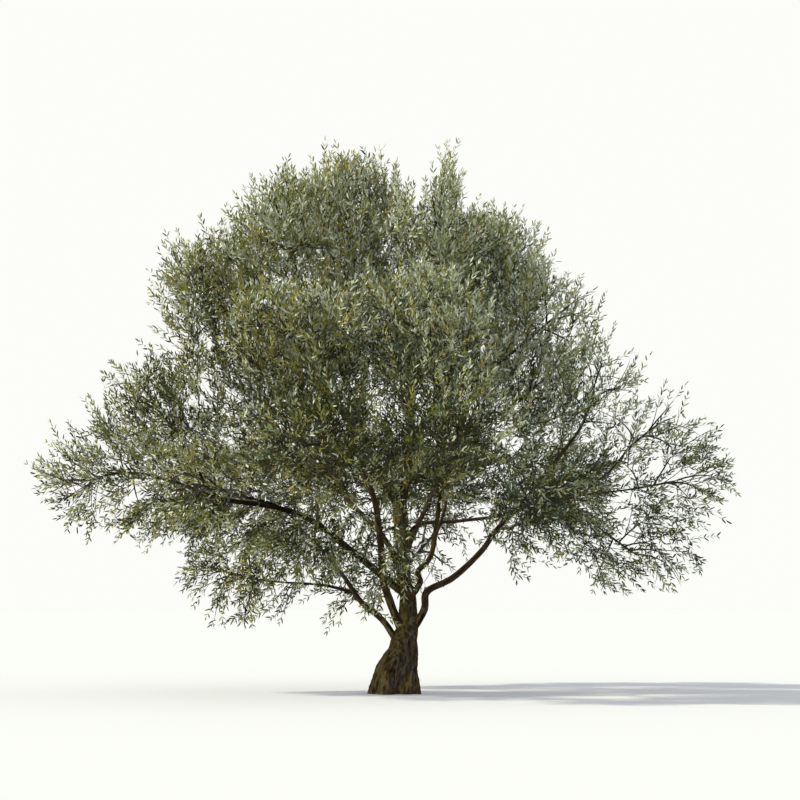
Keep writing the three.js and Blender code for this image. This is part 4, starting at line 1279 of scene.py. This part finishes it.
def limb_samples(limbs):
    """A tree of points along the limbs, for finding which limb a point of bark is on, and where."""
    rows = []
    for limb in limbs:
        shares = np.linspace(0, 1, max(2, int(limb.length / SAMPLE_STEP)))
        points = limb.at(shares)
        along, side, across = limb.axes(shares)
        radii = limb.radius(shares)
        for number, share in enumerate(shares):
            frame = np.stack([side[number], across[number], along[number]])
            rows.append((points[number], frame, share * limb.length, radii[number]))
    return point_tree([point for point, *_ in rows]), rows


def add_relief(mesh, limbs):
    """Moves the bark in and out in furrows that run along each limb, and keeps what the material needs."""
    tree, rows = limb_samples(limbs)
    grains, reliefs = [], []
    normals = [vertex.normal.copy() for vertex in mesh.vertices]
    for vertex, normal in zip(mesh.vertices, normals):
        _, number, _ = tree.find(vertex.co)
        centre, frame, way, radius = rows[number]
        local = frame @ (np.array(vertex.co) - centre)
        grain = Vector((local[0], local[1], (way + local[2]) * FURROW_STRETCH))
        ridged = noise.ridged_multi_fractal(grain / FURROW_SCALE, *FURROW_NOISE)
        height = min(ridged / FURROW_TOP, 1.0)
        lump = noise.noise(vertex.co / LUMP_SCALE)
        depth = min(radius * FURROW_DEPTH, DEEPEST_FURROW)
        vertex.co += normal * ((height - FURROW_LEVEL) * depth + lump * radius * LUMP_DEPTH)
        vertex.co.z = max(vertex.co.z, 0.0)
        grains.append(grain)
        reliefs.append(height)
    grain_values = mesh.attributes.new("grain", "FLOAT_VECTOR", "POINT")
    grain_values.data.foreach_set("vector", np.array(grains, np.float32).ravel())
    relief_values = mesh.attributes.new("relief", "FLOAT", "POINT")
    relief_values.data.foreach_set("value", np.array(reliefs, np.float32))


def applied(piece):
    """The piece's mesh with its modifiers applied."""
    graph = bpy.context.evaluated_depsgraph_get()
    mesh = bpy.data.meshes.new_from_object(piece.evaluated_get(graph))
    piece.modifiers.clear()
    piece.data = mesh
    return mesh


def joined_limbs(name, stretches):
    """One piece from several closed stretches of limb."""
    pieces = [linked(name, closed_limb(*stretch)) for stretch in stretches]
    with bpy.context.temp_override(active_object=pieces[0], selected_editable_objects=pieces):
        bpy.ops.object.join()
    pieces[0].name = name
    return pieces[0]


def cut_at_ground(mesh):
    """Leaves the trunk flat on the ground."""
    work = bmesh.new()
    work.from_mesh(mesh)
    everything = [*work.verts, *work.edges, *work.faces]
    ground = {"plane_co": (0, 0, 0), "plane_no": (0, 0, 1)}
    cut = bmesh.ops.bisect_plane(work, geom=everything, clear_inner=True, **ground)
    rim = [edge for edge in cut["geom_cut"] if isinstance(edge, bmesh.types.BMEdge)]
    bmesh.ops.holes_fill(work, edges=rim)
    work.to_mesh(mesh)
    work.free()


def finished_bark(piece, limbs, material):
    """The piece with the bark's relief and material."""
    mesh = piece.data
    add_relief(mesh, limbs)
    mesh.polygons.foreach_set("use_smooth", np.full(len(mesh.polygons), True))
    mesh.materials.clear()
    mesh.materials.append(material)
    return piece


def bark_of_trunk(limbs, material):
    """The trunk and the feet of its boughs, fused into one skin, with the bark's relief."""
    boughs = [limbs[name] for name, *_ in MAIN_BOUGHS]
    stretches = [(limbs["trunk"], 0, 1, TRUNK_STEP, TRUNK_SIDES)]
    for bough in boughs:
        stretches.append((bough, 0, min(1, FOOT_LENGTH / bough.length), TRUNK_STEP, FOOT_SIDES))
    piece = joined_limbs("bark_of_trunk", stretches)
    fused = piece.modifiers.new("fused", "REMESH")
    fused.mode = "VOXEL"
    fused.voxel_size = BARK_VOXEL
    eased = piece.modifiers.new("eased", "SMOOTH")
    eased.factor = EASING
    eased.iterations = EASING_ROUNDS
    cut_at_ground(applied(piece))
    return finished_bark(piece, [limbs["trunk"], *boughs], material)


def bark_of_boughs(limbs, material):
    """The boughs beyond their feet, and all the side boughs, each a tapering skin with the same relief."""
    main = [name for name, *_ in MAIN_BOUGHS]
    boughs = [limb for limb in limbs.values() if limb.name != "trunk"]
    stretches = []
    for bough in boughs:
        first = (FOOT_LENGTH - FOOT_UNDER) / bough.length if bough.name in main else 0
        if first < 1:
            stretches.append((bough, first, 1, BOUGH_STEP, BOUGH_SIDES))
    return finished_bark(joined_limbs("bark_of_boughs", stretches), boughs, material)


# Crown

def grow_twigs(limbs, carrier, low, high):
    """Stems, main twigs, side twigs and leafy shoots of every mass, all within the part's own box."""
    stems, mains = [], []
    for mass in range(len(MASSES)):
        stem = mass_stem(mass, carrier[MASS_NAMES[mass]])
        stems.append(stem)
        mains.append(main_twigs(mass, stem, random_from(MASS_SEED + mass)))
    random = np.random.default_rng(FINE_SEED)
    wood = joined(stems + mains)
    sides = finer_twigs(wood, SIDE_TWIGS, random)
    bare, mass = empty_places(sides.at(SHOOTS["middle"]), SIDE_CELL, 0, random)
    points = [np.concatenate(part) for part in zip(twig_points(wood, WOOD_FIRST), limb_points(limbs))]
    filling = reaching(bare, mass, points, SIDE_TWIGS, SIDE_BEHIND, SIDE_LONGEST)
    sides = joined([sides, filling])
    shoots = finer_twigs(sides, SHOOTS, random)
    points = twig_points(sides, SIDE_FIRST)
    for size, lowest in SHOOT_CELLS:
        bare, mass = empty_places(shoots.at(SHOOTS["middle"]), size, lowest, random)
        filling = reaching(bare, mass, points, SHOOTS, SHOOT_BEHIND, SHOOT_LONGEST)
        shoots = joined([shoots, filling])
    extra = sprouts(limbs, random)
    sprays = finer_twigs(extra, SPROUT_SHOOTS, random)
    sprays = sprays.pick(random.random(len(sprays)) > SPROUT_LOSS)
    shoots = with_spikes(joined([shoots, sprays, extra]), random)
    fits = ((shoots.end > low - SIZE_MARGIN) & (shoots.end < high + SIZE_MARGIN)).all(axis=1)
    return wood, joined([sides, extra]), shoots.pick(fits), random


def painted_light_of(places):
    """How bright the crown is painted by its tints: 0, painted shade, low down and in its depth; 1 high up
    and at its edge.
    """
    right = places[:, 0] - BRIGHT_PLACE[0]
    up = np.maximum(places[:, 2] - BRIGHT_PLACE[1], BRIGHT_LOWEST)
    shallow, deep = SHADED_DEPTH
    shaded = np.clip((crown_depth(mass_offsets(places)) - shallow) / (deep - shallow), 0, 1)
    for middle, reach, darker in SHADED_PLACES:
        shaded = shaded + darker / SHADING * fading(places[:, ::2], middle, reach, SHADED_FADE)
    return np.clip(BRIGHT_THERE + BRIGHT_RIGHT * right + BRIGHT_UP * up - SHADING * shaded, 0, 1)


def deal_tints(shoots, random):
    """The tint of every shoot, dealt out by where it is in the crown: the darker as painted shade, the paler
    as painted light.
    """
    bright = painted_light_of(shoots.end)[:, None]
    weights = np.array([[tint[2], tint[3]] for tint in LEAF_TINTS])
    chances = mix(weights[:, 1], weights[:, 0], bright)
    coolness = np.array([tint[4] for tint in LEAF_TINTS])
    # painted light and shade: cooler tints on the shaded right, warmer ones on the sunlit left
    chances *= np.exp(COOL_RIGHT * np.maximum(shoots.end[:, :1], WARMEST_LEFT) * coolness)
    chances = np.cumsum(chances / chances.sum(axis=1, keepdims=True), axis=1)
    patch = waves(shoots.at(PATCH_SHARE) + PATCH_APART).argsort().argsort() / len(shoots)
    drawn = (patch + PATCH_MIX * random.uniform(-0.5, 0.5, len(shoots))) % 1
    return (drawn[:, None] > chances).sum(axis=1)


def dress(piece, nodes):
    """Attaches the piece to the root body and hides the solids it takes the place of."""
    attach(piece, "root")
    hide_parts(*nodes)


def leaf_mesh(name, leaves, inner, material):
    """One piece of leaves, given as their frames and which of them are inner ones."""
    vertices, faces = outer_leaves(*(part[~inner] for part in leaves))
    more, corners = inner_leaves(*(part[inner] for part in leaves))
    faces = np.concatenate([faces, corners + len(vertices)])
    return mesh_object(name, np.concatenate([vertices, more]), faces, material)


def leaf_pieces(shoots, random, nodes):
    """The leaves, joined by tint. Those at the crown's edge have the finer outline."""
    *frames, owner = leaf_frames(shoots, random)
    inner = (crown_depth(mass_offsets(shoots.end)) > INNER_DEPTH)[owner]
    tint = deal_tints(shoots, random)[owner]
    # more silver undersides where the crown is bright: partly painted light
    silver = mix(*SILVER_SHARES, painted_light_of(shoots.end))[owner]
    tint[random.random(len(tint)) < silver] = len(LEAF_TINTS)
    tint[random.random(len(tint)) < OLD_SHARE] = len(LEAF_TINTS) + 1
    names = [(name, colour) for name, colour, *_ in LEAF_TINTS] + [SILVER_TINT, OLD_TINT]
    for number, (name, colour) in enumerate(names):
        material = leaf_material(name, colour)
        chosen = np.flatnonzero(tint == number)
        for part, begin in enumerate(range(0, len(chosen), LEAVES_PER_PIECE)):
            picked = chosen[begin:begin + LEAVES_PER_PIECE]
            leaves = [frame[picked] for frame in frames]
            dress(leaf_mesh(f"leaves_{name}_{part + 1}", leaves, inner[picked], material), nodes)


# Stage

def make_camera():
    """A camera that sees the tree where the photograph has it, at the photograph's scale."""
    aim_x = (FRAME_PIXELS / 2 - TRUNK_PIXEL) * METRES_PER_PIXEL
    aim_z = (GROUND_PIXEL - FRAME_PIXELS / 2) * METRES_PER_PIXEL
    data = bpy.data.cameras.new("camera")
    camera = linked("camera", data)
    camera.location = (aim_x, -CAMERA_DISTANCE, CAMERA_HEIGHT)
    way = Vector((aim_x, 0, aim_z)) - camera.location
    camera.rotation_euler = way.to_track_quat("-Z", "Y").to_euler()
    data.sensor_width = SENSOR
    data.lens = SENSOR * way.length / (FRAME_PIXELS * METRES_PER_PIXEL)
    data.clip_end = FURTHEST_SEEN
    bpy.context.scene.camera = camera


def make_light():
    """The sun."""
    data = bpy.data.lights.new("sun", "SUN")
    data.energy = SUN_POWER
    data.color = SUN_COLOUR
    data.angle = math.radians(SUN_SIZE)
    sun = linked("sun", data)
    turn, height = math.radians(SUN_TURN), math.radians(SUN_HEIGHT)
    level = math.cos(height)
    towards = Vector((math.sin(turn) * level, -math.cos(turn) * level, math.sin(height)))
    sun.rotation_euler = towards.to_track_quat("Z", "Y").to_euler()


def make_sky():
    """A pale sky that lights the tree, and a plain backdrop where the camera sees past it."""
    world = bpy.data.worlds.new("sky")
    bpy.context.scene.world = world
    world.use_nodes = True
    nodes, links = world.node_tree.nodes, world.node_tree.links
    sky = nodes["Background"]
    sky.inputs["Color"].default_value = (*SKY_COLOUR, 1)
    sky.inputs["Strength"].default_value = SKY_POWER
    backdrop = nodes.new("ShaderNodeBackground")
    backdrop.inputs["Color"].default_value = (*BACKDROP_COLOUR, 1)
    chosen = nodes.new("ShaderNodeMixShader")
    path = nodes.new("ShaderNodeLightPath")
    links.new(path.outputs["Is Camera Ray"], chosen.inputs[0])
    links.new(sky.outputs[0], chosen.inputs[1])
    links.new(backdrop.outputs[0], chosen.inputs[2])
    links.new(chosen.outputs[0], nodes["World Output"].inputs["Surface"])


def make_floor():
    """A pale floor."""
    shader = Shader("floor")
    shader.set(Base_Color=FLOOR_COLOUR, Roughness=1.0, Specular_IOR_Level=0.0)
    shader.set(Emission_Color=FLOOR_GLOW, Emission_Strength=1.0)
    half = FLOOR_SIZE / 2
    corners = np.array([(-half, -half, 0), (half, -half, 0), (half, half, 0), (-half, half, 0)])
    floor = mesh_object("floor", corners, np.array([[0, 1, 2, 3]]), shader.material)
    floor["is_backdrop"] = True


def main():
    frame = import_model()
    cad_low, cad_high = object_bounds()
    bpy.context.scene.view_settings.view_transform = "Standard"
    make_camera()
    make_light()
    make_sky()
    make_floor()

    limbs, carrier = all_limbs()
    foliage = [name for name in frame["nodes"] if name.endswith("_foliage")]
    bark = bark_material()
    boughs = [name for name in limbs if name != "trunk"]
    dress(bark_of_trunk(limbs, bark), ["trunk"])
    dress(bark_of_boughs(limbs, bark), boughs)

    wood, sides, shoots, random = grow_twigs(limbs, carrier, np.array(cad_low), np.array(cad_high))
    twig_bark = twig_material("twig_bark", *TWIG_COLOURS)
    shoot_bark = twig_material("shoot_bark", *SHOOT_COLOURS)
    dress(mesh_object("twigs_main", *twig_arrays(wood, *MAIN_TWIG_MESH), twig_bark), foliage)
    dress(mesh_object("twigs_side", *twig_arrays(sides, *SIDE_TWIG_MESH), twig_bark), foliage)
    dress(mesh_object("twigs_shoots", *twig_arrays(shoots, *SHOOT_MESH), shoot_bark), foliage)
    leaf_pieces(shoots, random, foliage)

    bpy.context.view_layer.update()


main()
